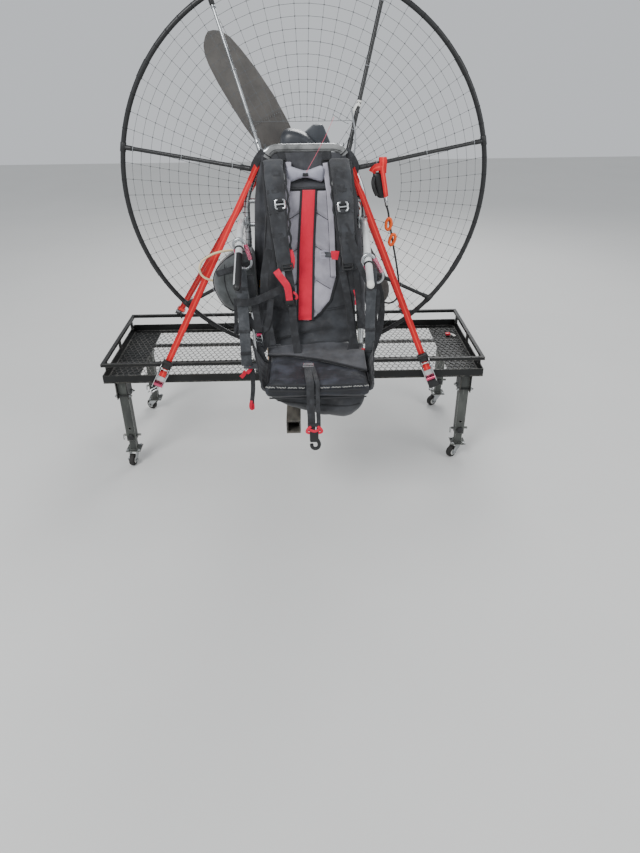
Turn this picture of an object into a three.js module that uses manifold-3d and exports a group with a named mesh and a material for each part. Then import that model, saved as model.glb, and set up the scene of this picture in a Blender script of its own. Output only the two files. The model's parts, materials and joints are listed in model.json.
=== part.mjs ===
// A paramotor standing, tied down, on a wheeled hitch carrier.
// Millimetres, +Z up. The pilot's side faces -Y and the propeller turns at the back, towards +Y.
// Lengths along Y are counted from the middle of the carrier, and the whole group is then moved
// by ORIGIN_SHIFT_Y, so that the origin is on the floor under the middle of the whole thing.
import * as THREE from 'three';
import { mergeVertices } from 'three/addons/utils/BufferGeometryUtils.js';
import Module from 'manifold-3d';

const wasm = await Module();
wasm.setup();

// Shared clearances
const GAP = 0.3;
const ORIGIN_SHIFT_Y = 235;

// Carrier: a 60 inch tray on a 2 inch square hitch bar
const TRAY_WIDTH = 1524;
const TRAY_DEPTH = 560;
const TRAY_BOTTOM = 397;
const TRAY_HEIGHT = 34;
const STEEL = 4;
const FLANGE = 30;
const DECK_THICK = 3;
// The lattice here is three times as coarse as the real expanded metal
const DIAMOND_X = 70;
const DIAMOND_Y = 153;
const DECK_STRAND = 7;
const DECK_TOP = TRAY_BOTTOM + STEEL + GAP + DECK_THICK;
const END_PLATE_INNER_X = 632;
const RAIL_TOP = 481;
const RAIL_SIZE = 12.7;
const POST_SIZE = 10;
const POST_Y = 225;
const HITCH_SIZE = 50.8;
const HITCH_WALL = 5;
const HITCH_FRONT_Y = -612;
const HITCH_BACK_Y = 145;

// Legs and casters
const LEG_X = 700;
const LEG_Y = 235;
const LEG_SIZE = 38.1;
const LEG_FOOT = 112;
const LEG_PLUG_TOP = 152;
const INSERT_SIZE = 28.6;
const CASTER_PLATE_BOTTOM = 63;
const CASTER_PLATE_THICK = 3;
const CASTER_PLATE_SIZE = 62;
const LEG_HOLE_Z = 172;
const LEG_HOLE_R = 6;
const LEG_PIN_Z = 132;
const BRACKET_BOTTOM = 318;
const WHEEL_RADIUS = 25.4;
const WHEEL_WIDTH = 20;
const WHEEL_SIDES = 20;
const AXLE_RADIUS = 4;
const AXLE_HEIGHT = WHEEL_RADIUS * Math.cos(Math.PI / WHEEL_SIDES);
const CASTER_TRAIL = 30;
const FORK_INNER = 13.5;
const FORK_CHEEK = 2.5;

// Paramotor: everything below is placed about its own middle plane
const MOTOR_X = 60;
const FRAME_Y = -250;
const FRAME_TUBE = 11;
const FRAME_HALF_WIDTH = 209;
const FRAME_FOOT_HALF_WIDTH = 205;
const FRAME_SHOULDER_Z = 1095;
const FRAME_TOP_Z = 1258;
const FRAME_TOP_HALF_WIDTH = 140;
const BASE_Z = DECK_TOP + GAP + FRAME_TUBE;
const BASE_BACK_Y = 20;
const TANK_BAR_RADIUS = 7;
const CROSSBAR_RADIUS = 9;
const CROSSBAR_Z = [1005, 1085];
const SHOULDER_BAR_Z = 1205;
const SHOULDER_BAR_HALF = 160;
const HOOP_RADIUS = 660;
const HOOP_TUBE = 9;
const HOOP_Y = -112;
const HUB_Z = 1113;
const NET_CORD = 1.2;
const NET_STEP = 15;
const NET_RINGS = [345, 455, 560];
const NET_SAG = 6;
const NET_SLANT = 1.06;
const NET_TAIL = 5;
const THROTTLE_GAP = 16;
const SPAR_RADIUS = 7;
const SOCKET_RADIUS = 9;
const SOCKET_LENGTH = 45;
const PROPELLER_Y = -15;
const PROPELLER_TIP = 585;
const PROPELLER_ANGLE = 122;
const COVER_THICK = 34;
const COVER_START = 100;
const HUB_RADIUS = 45;
const HUB_FRONT_Y = -40.5;
const HUB_BACK_Y = 10;
const ENGINE_Y = -135;
const CRANK_Z = 1045;

// Harness
const BACK_PLANE_Y = FRAME_Y - CROSSBAR_RADIUS - GAP;
const BACKREST_TOP = 1140;
const SEAT_TOP = 600;
const SEAT_BOTTOM = 540;
const SEAT_BACK_Y = -470;
const SEAT_FRONT_Y = -722;
const SEAT_LEFT_X = -140;
const SEAT_RIGHT_X = 198;
const ARM_RADIUS = 12;
const FRONT_LIMIT_Y = -750;

const MATERIALS = {
  black_steel: material(0x1b1c1d, 0.55, 0.6),
  deck: material(0x2a2c2e, 0.6, 0.6),
  zinc: material(0xb9bcbd, 0.35, 0.9),
  wheel: material(0x1a1a1a, 0.6, 0),
  frame_tube: material(0xc9ccce, 0.4, 0.85),
  hoop_tube: material(0x18191a, 0.4, 0.4),
  net: material(0xb5b8ba, 0.8, 0),
  light_tube: material(0xb4b8ba, 0.4, 0.8),
  handle_foam: material(0x8f9090, 0.9, 0),
  cast: material(0x8d9093, 0.5, 0.8),
  gloss_plastic: material(0x14161a, 0.2, 0),
  exhaust: material(0x4a4744, 0.55, 0.7),
  tank: material(0xd9d8cf, 0.45, 0),
  hub: material(0xa9adb0, 0.35, 0.9),
  cover: material(0x2c2c2b, 0.95, 0),
  harness: material(0x202123, 0.9, 0),
  headrest: material(0x9a9aa0, 0.9, 0),
  seat: material(0x1b1d22, 0.8, 0),
  arm: material(0xd6d9dc, 0.3, 0.8),
  carabiner: material(0xc26a86, 0.3, 0.8),
  control: material(0x161617, 0.5, 0),
  red_web: material(0xc4161c, 0.7, 0),
};

function material(color, roughness, metalness) {
  return new THREE.MeshStandardMaterial({ color, roughness, metalness });
}

// A closed geometry as a solid for joins and cuts
function solid(geometry) {
  const plain = geometry.index ? geometry.toNonIndexed() : geometry.clone();
  plain.deleteAttribute('normal');
  plain.deleteAttribute('uv');
  const merged = mergeVertices(plain, 1e-3);
  const vertProperties = new Float32Array(merged.attributes.position.array);
  const triVerts = new Uint32Array(merged.index.array);
  return new wasm.Manifold(new wasm.Mesh({ numProp: 3, vertProperties, triVerts }));
}

function toGeometry(body) {
  const mesh = body.getMesh();
  const geometry = new THREE.BufferGeometry();
  geometry.setAttribute('position', new THREE.BufferAttribute(new Float32Array(mesh.vertProperties), 3));
  geometry.setIndex(new THREE.BufferAttribute(new Uint32Array(mesh.triVerts), 1));
  return geometry;
}

function joined(...geometries) {
  return toGeometry(geometries.map(solid).reduce((sum, next) => sum.add(next)));
}

function cut(geometry, ...tools) {
  return toGeometry(tools.map(solid).reduce((rest, tool) => rest.subtract(tool), solid(geometry)));
}

// A box from its low corner to its high corner
function box(x0, y0, z0, x1, y1, z1) {
  const geometry = new THREE.BoxGeometry(x1 - x0, y1 - y0, z1 - z0);
  return geometry.translate((x0 + x1) / 2, (y0 + y1) / 2, (z0 + z1) / 2);
}

// A round bar along Y, along Z or along X
function rodY(radius, y0, y1, x, z, sides = 20) {
  return new THREE.CylinderGeometry(radius, radius, y1 - y0, sides).translate(x, (y0 + y1) / 2, z);
}

function rodZ(radius, z0, z1, x, y, sides = 20) {
  return new THREE.CylinderGeometry(radius, radius, z1 - z0, sides).rotateX(Math.PI / 2)
    .translate(x, y, (z0 + z1) / 2);
}

function rodX(radius, x0, x1, y, z, sides = 20) {
  return new THREE.CylinderGeometry(radius, radius, x1 - x0, sides).rotateZ(Math.PI / 2)
    .translate((x0 + x1) / 2, y, z);
}

// An outline of [a, b] points as a shape
function outline(points) {
  return new THREE.Shape(points.map(([a, b]) => new THREE.Vector2(a, b)));
}

// An outline drawn in X and Z, made solid from y0 to y1
function slabXZ(shape, y0, y1, bevel = 0) {
  const depth = y1 - y0 - 2 * bevel;
  const options = bevel
    ? { depth, bevelEnabled: true, bevelThickness: bevel, bevelSize: bevel, bevelOffset: -bevel,
        bevelSegments: 2, curveSegments: 6 }
    : { depth, bevelEnabled: false, curveSegments: 8 };
  return new THREE.ExtrudeGeometry(shape, options).translate(0, 0, bevel).rotateX(Math.PI / 2)
    .translate(0, y1, 0);
}

// An outline drawn in Y and Z, made solid from x0 to x1
function slabYZ(shape, x0, x1, bevel = 0) {
  const depth = x1 - x0 - 2 * bevel;
  const options = bevel
    ? { depth, bevelEnabled: true, bevelThickness: bevel, bevelSize: bevel, bevelOffset: -bevel,
        bevelSegments: 2, curveSegments: 6 }
    : { depth, bevelEnabled: false, curveSegments: 8 };
  return new THREE.ExtrudeGeometry(shape, options).translate(0, 0, bevel)
    .rotateY(Math.PI / 2).rotateX(Math.PI / 2).translate(x0, 0, 0);
}

function circle(radius, sides) {
  const points = [];
  for (let i = 0; i < sides; i += 1) {
    const angle = (2 * Math.PI * i) / sides;
    points.push([radius * Math.cos(angle), radius * Math.sin(angle)]);
  }
  return outline(points);
}

function roundedBar(x0, z0, x1, z1, radius) {
  const shape = new THREE.Shape();
  shape.moveTo(x0 + radius, z0);
  shape.lineTo(x1 - radius, z0);
  shape.absarc(x1 - radius, z0 + radius, radius, -Math.PI / 2, 0, false);
  shape.absarc(x1 - radius, z1 - radius, radius, 0, Math.PI / 2, false);
  shape.absarc(x0 + radius, z1 - radius, radius, Math.PI / 2, Math.PI, false);
  shape.absarc(x0 + radius, z0 + radius, radius, Math.PI, 1.5 * Math.PI, false);
  return shape;
}

// A round pipe along straight runs with rounded corners
function pipe(points, radius, { bend = 40, sides = 10, step = 30 } = {}) {
  const corners = points.map(([x, y, z]) => new THREE.Vector3(x, y, z));
  const path = new THREE.CurvePath();
  let from = corners[0];
  for (let i = 1; i < corners.length - 1; i += 1) {
    const corner = corners[i];
    const back = corners[i - 1].clone().sub(corner);
    const ahead = corners[i + 1].clone().sub(corner);
    const trim = Math.min(bend, back.length() * 0.45, ahead.length() * 0.45);
    const enter = corner.clone().addScaledVector(back.normalize(), trim);
    const leave = corner.clone().addScaledVector(ahead.normalize(), trim);
    path.add(new THREE.LineCurve3(from, enter));
    path.add(new THREE.QuadraticBezierCurve3(enter, corner, leave));
    from = leave;
  }
  path.add(new THREE.LineCurve3(from, corners[corners.length - 1]));
  const steps = corners.length === 2 ? 1 : Math.max(4, Math.round(path.getLength() / step));
  return new THREE.ExtrudeGeometry(circle(radius, sides), { steps, extrudePath: path });
}

// An arc of the hoop, in the X and Z plane about its own centre
class HoopArc extends THREE.Curve {
  constructor(radius, from, to) {
    super();
    this.radius = radius;
    this.from = from;
    this.to = to;
  }

  getPoint(t, target = new THREE.Vector3()) {
    const angle = THREE.MathUtils.degToRad(this.from + (this.to - this.from) * t);
    return target.set(this.radius * Math.cos(angle), 0, this.radius * Math.sin(angle));
  }
}

// A line with straight runs between its points
class StraightRuns extends THREE.Curve {
  constructor(points) {
    super();
    this.points = points;
  }

  getPoint(t, target = new THREE.Vector3()) {
    const last = this.points.length - 1;
    const i = Math.min(last - 1, Math.floor(t * last));
    return target.lerpVectors(this.points[i], this.points[i + 1], t * last - i);
  }

  // Steps fall on the points, whatever the runs' lengths
  getUtoTmapping(u) {
    return u;
  }
}

function netCord(points) {
  const extrudePath = new StraightRuns(points);
  return new THREE.ExtrudeGeometry(circle(NET_CORD, 6), { steps: points.length - 1, extrudePath });
}

// A flat strap of one thickness whose line is drawn in Y and Z, as wide as x0 to x1
function band(points, thickness, x0, x1) {
  const line = points.map(([y, z]) => new THREE.Vector2(y, z));
  const normals = line.map((point, i) => {
    const before = line[Math.max(0, i - 1)];
    const after = line[Math.min(line.length - 1, i + 1)];
    const along = after.clone().sub(before).normalize();
    return new THREE.Vector2(-along.y, along.x);
  });
  const near = line.map((point, i) => point.clone().addScaledVector(normals[i], thickness / 2));
  const far = line.map((point, i) => point.clone().addScaledVector(normals[i], -thickness / 2));
  const edge = [...near, ...far.reverse()];
  if (THREE.ShapeUtils.area(edge) < 0) edge.reverse();
  return slabYZ(new THREE.Shape(edge), x0, x1);
}

const whole = new THREE.Group();
whole.position.set(0, ORIGIN_SHIFT_Y, 0);
const carrier = new THREE.Group();
const motor = new THREE.Group();
motor.position.set(MOTOR_X, 0, 0);
whole.add(carrier, motor);

function place(group, name, geometry, slot, position = [0, 0, 0]) {
  const mesh = new THREE.Mesh(geometry, MATERIALS[slot]);
  mesh.name = name;
  mesh.position.set(...position);
  group.add(mesh);
  return mesh;
}

// Rectangular ring lying flat, from z0 to z1
function flatRing(width, depth, wall, z0, z1) {
  const ring = outline([
    [-width / 2, -depth / 2], [width / 2, -depth / 2], [width / 2, depth / 2], [-width / 2, depth / 2],
  ]);
  const x = width / 2 - wall;
  const y = depth / 2 - wall;
  ring.holes.push(new THREE.Path([[-x, -y], [-x, y], [x, y], [x, -y]].map(([a, b]) => new THREE.Vector2(a, b))));
  return new THREE.ExtrudeGeometry(ring, { depth: z1 - z0, bevelEnabled: false }).translate(0, 0, z0);
}

const LEGS = [
  // name, side along X, side along Y, caster heading in degrees from +X
  ['front_left', -1, -1, 260],
  ['front_right', 1, -1, 213],
  ['rear_left', -1, 1, 152],
  ['rear_right', 1, 1, 205],
];

// Tray: a flat frame with end plates, two runners and the legs' brackets, and a rim welded round it
function buildTray() {
  const top = TRAY_BOTTOM + STEEL;
  const halfWidth = TRAY_WIDTH / 2;
  const halfDepth = TRAY_DEPTH / 2;
  const parts = [flatRing(TRAY_WIDTH, TRAY_DEPTH, FLANGE, TRAY_BOTTOM, top)];
  for (const side of [-1, 1]) {
    const [x0, x1] = [side * END_PLATE_INNER_X, side * (halfWidth - 1)].sort((a, b) => a - b);
    parts.push(box(x0, -halfDepth + 1, TRAY_BOTTOM, x1, halfDepth - 1, top));
    const y = side * 95;
    parts.push(box(-END_PLATE_INNER_X - 5, y - 15, TRAY_BOTTOM, END_PLATE_INNER_X + 5, y + 15, top));
  }
  for (const [, sideX, sideY] of LEGS) {
    for (const cheek of [-1, 1]) {
      const x = sideX * LEG_X + cheek * (LEG_SIZE / 2 + GAP + STEEL / 2);
      const y = sideY * LEG_Y;
      parts.push(box(x - STEEL / 2, y - 34, BRACKET_BOTTOM, x + STEEL / 2, y + 34, TRAY_BOTTOM + 1));
    }
  }
  place(carrier, 'tray_floor', joined(...parts), 'black_steel');
  const rim = flatRing(TRAY_WIDTH, TRAY_DEPTH, STEEL, top + GAP, TRAY_BOTTOM + TRAY_HEIGHT);
  place(carrier, 'tray_rim', rim, 'black_steel');
}

// Rail above the tray, standing on three posts at each end
function buildRail() {
  const parts = [flatRing(TRAY_WIDTH, TRAY_DEPTH, RAIL_SIZE, RAIL_TOP - RAIL_SIZE, RAIL_TOP)];
  const foot = TRAY_BOTTOM + TRAY_HEIGHT + GAP;
  for (const side of [-1, 1]) {
    const outer = side * (TRAY_WIDTH / 2 - 0.5);
    const inner = side * (TRAY_WIDTH / 2 - 0.5 - POST_SIZE);
    for (const y of [-POST_Y, 0, POST_Y]) {
      const [x0, x1] = [Math.min(inner, outer), Math.max(inner, outer)];
      parts.push(box(x0, y - POST_SIZE / 2, foot, x1, y + POST_SIZE / 2, RAIL_TOP - RAIL_SIZE + 1));
    }
  }
  place(carrier, 'top_rail', joined(...parts), 'black_steel');
}

// Expanded metal: a sheet with staggered diamond holes inside a plain edge
function buildDeck() {
  const x = TRAY_WIDTH / 2 - STEEL - GAP;
  const y = TRAY_DEPTH / 2 - STEEL - GAP;
  const sheet = outline([[-x, -y], [x, -y], [x, y], [-x, y]]);
  const slope = Math.hypot(DIAMOND_X, DIAMOND_Y);
  const halfX = (DIAMOND_X - DECK_STRAND * slope / DIAMOND_Y) / 2;
  const halfY = (DIAMOND_Y - DECK_STRAND * slope / DIAMOND_X) / 2;
  const edge = 8;
  for (let row = -3; row <= 3; row += 1) {
    const shift = (row % 2) * DIAMOND_X / 2;
    for (let column = -12; column <= 12; column += 1) {
      const cx = column * DIAMOND_X + shift;
      const cy = row * DIAMOND_Y / 2;
      if (Math.abs(cx) + halfX > x - edge || Math.abs(cy) + halfY > y - edge) continue;
      const corners = [[cx - halfX, cy], [cx, cy + halfY], [cx + halfX, cy], [cx, cy - halfY]];
      sheet.holes.push(new THREE.Path(corners.map(([a, b]) => new THREE.Vector2(a, b))));
    }
  }
  const geometry = new THREE.ExtrudeGeometry(sheet, { depth: DECK_THICK, bevelEnabled: false });
  place(carrier, 'deck_mesh', geometry, 'deck', [0, 0, DECK_TOP - DECK_THICK]);
}

// Square bar that slides into a vehicle's receiver
function buildHitch() {
  const half = HITCH_SIZE / 2;
  const inner = half - HITCH_WALL;
  const square = outline([[-half, -half], [half, -half], [half, half], [-half, half]]);
  const hole = [[-inner, -inner], [-inner, inner], [inner, inner], [inner, -inner]];
  square.holes.push(new THREE.Path(hole.map(([a, b]) => new THREE.Vector2(a, b))));
  const geometry = slabXZ(square, HITCH_FRONT_Y, HITCH_BACK_Y);
  place(carrier, 'hitch_tube', geometry, 'black_steel', [0, 0, TRAY_BOTTOM - GAP - half]);
}

function buildLegs() {
  const half = LEG_SIZE / 2;
  const insert = INSERT_SIZE / 2;
  const plate = CASTER_PLATE_SIZE / 2;
  const plateTop = CASTER_PLATE_BOTTOM + CASTER_PLATE_THICK;
  for (const [name, sideX, sideY] of LEGS) {
    const tube = cut(
      flatRing(LEG_SIZE, LEG_SIZE, STEEL, LEG_FOOT, TRAY_BOTTOM - GAP),
      rodY(LEG_HOLE_R, -half - 2, half + 2, 0, LEG_HOLE_Z, 12),
    );
    const leg = joined(
      tube,
      box(-half + 1, -half + 1, LEG_FOOT, half - 1, half - 1, LEG_PLUG_TOP),
      box(-insert, -insert, plateTop - 1, insert, insert, LEG_FOOT + 5),
      box(-plate, -plate, CASTER_PLATE_BOTTOM, plate, plate, plateTop),
      rodX(5, -half - 14, half + 18, 0, LEG_PIN_Z, 10),
    );
    place(carrier, `leg_${name}`, leg, 'black_steel', [sideX * LEG_X, sideY * LEG_Y, 0]);
  }
}

// Caster forks and wheels, drawn with the wheel trailing along +X and then turned to their heading
function buildCasters() {
  const discTop = CASTER_PLATE_BOTTOM - 0.4;
  const discBottom = discTop - 5.6;
  const cheekShape = outline([
    [-16, discBottom + 1], [20, discBottom + 1], [CASTER_TRAIL + 8, AXLE_HEIGHT + 6],
    [CASTER_TRAIL + 8, AXLE_HEIGHT - 7], [CASTER_TRAIL - 8, AXLE_HEIGHT - 7],
  ]);
  const outer = FORK_INNER + FORK_CHEEK;
  const bridge = box(-16, -outer, discBottom, 20, outer, discBottom + 2.5);
  const fork = joined(
    slabXZ(cheekShape, FORK_INNER, outer),
    slabXZ(cheekShape, -outer, -FORK_INNER),
    bridge,
    rodZ(22, discBottom, discTop, 0, 0, 16),
    rodY(AXLE_RADIUS, -outer - 2, outer + 2, CASTER_TRAIL, AXLE_HEIGHT, 10),
  );
  const bore = AXLE_RADIUS + 0.4;
  const half = WHEEL_WIDTH / 2;
  const profile = [
    [bore, -half], [15, -half], [17, -half + 3], [WHEEL_RADIUS - 3, -half], [WHEEL_RADIUS, -half + 4],
    [WHEEL_RADIUS, half - 4], [WHEEL_RADIUS - 3, half], [17, half - 3], [15, half], [bore, half], [bore, -half],
  ].map(([r, y]) => new THREE.Vector2(r, y));
  const wheel = new THREE.LatheGeometry(profile, WHEEL_SIDES).rotateY(Math.PI / WHEEL_SIDES);
  for (const [name, sideX, sideY, heading] of LEGS) {
    const turn = THREE.MathUtils.degToRad(heading);
    const place0 = [sideX * LEG_X, sideY * LEG_Y, 0];
    const caster = new THREE.Group();
    caster.position.set(...place0);
    caster.rotation.z = turn;
    carrier.add(caster);
    place(caster, `caster_fork_${name}`, fork.clone(), 'zinc');
    place(caster, `caster_wheel_${name}`, wheel.clone(), 'wheel', [CASTER_TRAIL, 0, AXLE_HEIGHT]);
  }
}

const SPARS = [
  // name, angle on the hoop, socket x, socket z, slot, section of the hoop that it meets
  ['spar_left', 168, -180, 1190, 'hoop_tube', 'left'],
  ['spar_right', 12.5, 180, 1190, 'hoop_tube', 'right'],
  ['spar_upper_left', 117, -148, 1240, 'light_tube', 'top'],
  ['spar_upper_right', 65.8, 148, 1240, 'hoop_tube', 'top'],
  ['spar_lower_left', 223, -FRAME_HALF_WIDTH, 840, 'hoop_tube', 'bottom'],
  ['spar_lower_right', -42, FRAME_HALF_WIDTH, 840, 'hoop_tube', 'bottom'],
];

// Where a spar leaves the frame, and its direction to the middle of the hoop's tube
function sparLine(angle, x, z) {
  const reach = HOOP_RADIUS;
  const turn = THREE.MathUtils.degToRad(angle);
  const start = new THREE.Vector3(x, FRAME_Y, z);
  const end = new THREE.Vector3(reach * Math.cos(turn), HOOP_Y, HUB_Z + reach * Math.sin(turn));
  const along = end.clone().sub(start).normalize();
  return { start, end, along };
}

// Main frame: one bent tube from foot to foot, two crossbars and the six spar sockets
function buildFrame() {
  const arch = pipe([
    [-FRAME_FOOT_HALF_WIDTH, FRAME_Y, BASE_Z + FRAME_TUBE + GAP],
    [-FRAME_HALF_WIDTH, FRAME_Y, FRAME_SHOULDER_Z],
    [-FRAME_TOP_HALF_WIDTH, FRAME_Y, FRAME_TOP_Z],
    [FRAME_TOP_HALF_WIDTH, FRAME_Y, FRAME_TOP_Z],
    [FRAME_HALF_WIDTH, FRAME_Y, FRAME_SHOULDER_Z],
    [FRAME_FOOT_HALF_WIDTH, FRAME_Y, BASE_Z + FRAME_TUBE + GAP],
  ], FRAME_TUBE, { bend: 55, step: 36 });
  const parts = [arch];
  for (const z of CROSSBAR_Z) {
    parts.push(rodX(CROSSBAR_RADIUS, -FRAME_HALF_WIDTH, FRAME_HALF_WIDTH, FRAME_Y, z, 12));
  }
  parts.push(rodX(CROSSBAR_RADIUS, -SHOULDER_BAR_HALF, SHOULDER_BAR_HALF, FRAME_Y, SHOULDER_BAR_Z, 12));
  for (const [, angle, x, z] of SPARS) {
    const { start, along } = sparLine(angle, x, z);
    const end = start.clone().addScaledVector(along, SOCKET_LENGTH);
    parts.push(pipe([start.toArray(), end.toArray()], SOCKET_RADIUS));
  }
  place(motor, 'main_frame', joined(...parts), 'frame_tube');
}

function buildSpars() {
  for (const [name, angle, x, z, slot, section] of SPARS) {
    const { start, end, along } = sparLine(angle, x, z);
    const from = start.clone().addScaledVector(along, SOCKET_LENGTH + GAP);
    const bar = pipe([from.toArray(), end.toArray()], SPAR_RADIUS, { sides: 8 });
    const seat = hoopSection(section, HOOP_TUBE + GAP).translate(0, HOOP_Y, HUB_Z);
    const near = end.clone().addScaledVector(along, -60);
    const tip = pipe([near.toArray(), end.clone().addScaledVector(along, 20).toArray()], SPAR_RADIUS + 4);
    place(motor, name, cut(bar, toGeometry(solid(seat).intersect(solid(tip)))), slot);
  }
}

// The hoop comes apart in four sections
const HOOP_SECTIONS = {
  // start and end angle, steps
  top: [35, 145, 22],
  left: [145, 207, 13],
  bottom: [207, 333, 25],
  right: [333, 395, 13],
};

// One section about the hoop's own centre, with a tube of the given radius
function hoopSection(name, radius) {
  const [from, to, steps] = HOOP_SECTIONS[name];
  const trim = THREE.MathUtils.radToDeg(GAP / 2 / HOOP_RADIUS);
  const extrudePath = new HoopArc(HOOP_RADIUS, from + trim, to - trim);
  return new THREE.ExtrudeGeometry(circle(radius, 8), { steps, extrudePath });
}

function buildHoop() {
  for (const name of Object.keys(HOOP_SECTIONS)) {
    place(motor, `hoop_${name}`, hoopSection(name, HOOP_TUBE), 'hoop_tube', [0, HOOP_Y, HUB_Z]);
  }
}

// How far the frame's outer tube is from the hub's centre in one direction, in degrees
function frameReach(angle) {
  const turn = THREE.MathUtils.degToRad(angle);
  const across = Math.abs(Math.cos(turn));
  const up = Math.sin(turn);
  const top = (FRAME_TOP_Z - HUB_Z) / up;
  if (up > 0 && top * across <= FRAME_TOP_HALF_WIDTH) return top;
  const rise = HUB_Z - FRAME_SHOULDER_Z;
  const slant = (FRAME_HALF_WIDTH - FRAME_TOP_HALF_WIDTH) / (FRAME_TOP_Z - FRAME_SHOULDER_Z);
  const shoulder = (FRAME_HALF_WIDTH - rise * slant) / (across + slant * up);
  if (shoulder > 0 && shoulder * up >= -rise) return shoulder;
  const taper = (FRAME_HALF_WIDTH - FRAME_FOOT_HALF_WIDTH) / (FRAME_SHOULDER_Z - BASE_Z);
  return (FRAME_HALF_WIDTH + rise * taper) / (across - taper * up);
}

// A place on the net, which runs from behind the frame's tube to behind the hoop's
function netPoint(angle, radius) {
  const reach = frameReach(angle);
  const share = Math.max(0, (radius - reach) / (HOOP_RADIUS - reach));
  const front = FRAME_Y + FRAME_TUBE + GAP + NET_CORD;
  const back = HOOP_Y + (HOOP_TUBE + GAP + NET_CORD) * NET_SLANT;
  const y = front + (back - front) * share + NET_SAG * Math.sin(Math.PI * Math.min(1, share));
  const turn = THREE.MathUtils.degToRad(angle);
  return new THREE.Vector3(radius * Math.cos(turn), y, HUB_Z + radius * Math.sin(turn));
}

// Net on both sides and over the top, open between the frame's legs; its first ring clears the throttle
function buildNet() {
  const angles = [];
  const legs = THREE.MathUtils.radToDeg(Math.asin(FRAME_HALF_WIDTH / NET_RINGS[1]));
  for (let angle = -90 + NET_STEP / 2; angle < 270; angle += NET_STEP) {
    if (Math.abs(angle + 90) > legs && Math.abs(angle - 270) > legs) angles.push(angle);
  }
  const cords = angles.map((angle) => {
    const reach = frameReach(angle);
    const knots = NET_RINGS.filter((radius) => radius > reach);
    const start = Math.abs(angle) < THROTTLE_GAP ? [] : [reach - NET_TAIL, reach];
    return [...start, ...knots, HOOP_RADIUS].map((radius) => netPoint(angle, radius));
  });
  for (const radius of NET_RINGS) {
    const side = THREE.MathUtils.radToDeg(Math.asin(FRAME_HALF_WIDTH / radius));
    const inside = angles.filter((angle) => frameReach(angle) < radius);
    cords.push([-90 + side, ...inside, 270 - side].map((angle) => netPoint(angle, radius)));
  }
  place(motor, 'safety_net', joined(...cords.map(netCord)), 'net');
}

// Skid under the frame, with the two bars that carry the fuel tank
function buildBase() {
  const x = FRAME_FOOT_HALF_WIDTH;
  const front = FRAME_Y - FRAME_TUBE - 2;
  const skid = pipe([
    [-x, front, BASE_Z], [-x, BASE_BACK_Y, BASE_Z], [x, BASE_BACK_Y, BASE_Z], [x, front, BASE_Z],
  ], FRAME_TUBE, { bend: 60, step: 30 });
  const bars = [-212, -148].map((y) => rodX(TANK_BAR_RADIUS, -x, x, y, BASE_Z, 10));
  place(motor, 'base_skid', joined(skid, ...bars), 'frame_tube');
}

function buildTank() {
  const bottom = BASE_Z + TANK_BAR_RADIUS + GAP;
  const shape = roundedBar(-165, bottom, 165, 640, 28);
  const tank = slabXZ(shape, -237, -124, 14);
  place(motor, 'fuel_tank', joined(tank, rodZ(24, 630, 655, 85, -180, 16)), 'tank');
}

// Crankcase with gearbox, starter cover, carburettor and the four mounts on the crossbars
function buildEngine() {
  const gearbox = new THREE.Shape();
  gearbox.absarc(0, CRANK_Z, 56, Math.PI, 2 * Math.PI, false);
  gearbox.absarc(0, HUB_Z, 40, 0, Math.PI, false);
  const parts = [
    rodY(59, -190, -85, 0, CRANK_Z, 24),
    rodY(50, -206, -189, 0, CRANK_Z, 20),
    slabXZ(gearbox, -86, -50),
    rodY(22, -51, HUB_FRONT_Y - 0.5, 0, HUB_Z, 16),
    box(-42, ENGINE_Y - 42, 985, 42, ENGINE_Y + 42, CRANK_Z),
    box(-24, ENGINE_Y - 26, 1095, 24, ENGINE_Y + 26, 1179.7),
  ];
  const mountBack = FRAME_Y + CROSSBAR_RADIUS + GAP;
  for (const z of CROSSBAR_Z) {
    for (const x of [-42, 42]) parts.push(rodY(8, mountBack, -180, x, z, 10));
  }
  place(motor, 'crankcase', joined(...parts), 'cast');
}

// Finned cylinder hanging under the crankcase
function buildCylinder() {
  const core = 33;
  const finRadius = 50;
  const pitch = 9;
  const top = 984.7;
  const profile = [[0, 0], [core, 0]];
  for (let i = 0; i < 11; i += 1) {
    const z = 4 + i * pitch;
    profile.push([core, z], [finRadius, z], [finRadius, z + 4], [core, z + 4]);
  }
  const length = 4 + 11 * pitch;
  profile.push([core, length], [core - 6, length + 8], [0, length + 8]);
  const points = profile.map(([r, z]) => new THREE.Vector2(r, -z)).reverse();
  const geometry = new THREE.LatheGeometry(points, 16).rotateX(Math.PI / 2);
  place(motor, 'cylinder', geometry, 'cast', [0, ENGINE_Y, top]);
}

// Glossy air box over the engine with its angular intake
function buildAirbox() {
  const dome = new THREE.Shape();
  dome.moveTo(-62, 1180);
  dome.lineTo(72, 1180);
  dome.lineTo(64, 1222);
  dome.quadraticCurveTo(40, 1264, 0, 1284);
  dome.quadraticCurveTo(-40, 1302, -66, 1290);
  dome.quadraticCurveTo(-88, 1276, -82, 1236);
  dome.quadraticCurveTo(-80, 1200, -62, 1180);
  const intake = outline([[20, 1195], [74, 1200], [96, 1237], [68, 1288], [50, 1308], [32, 1308], [-2, 1282]]);
  const geometry = joined(slabXZ(dome, -185, -75, 12), slabXZ(intake, -112, -72));
  place(motor, 'air_box', geometry, 'gloss_plastic');
}

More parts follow.
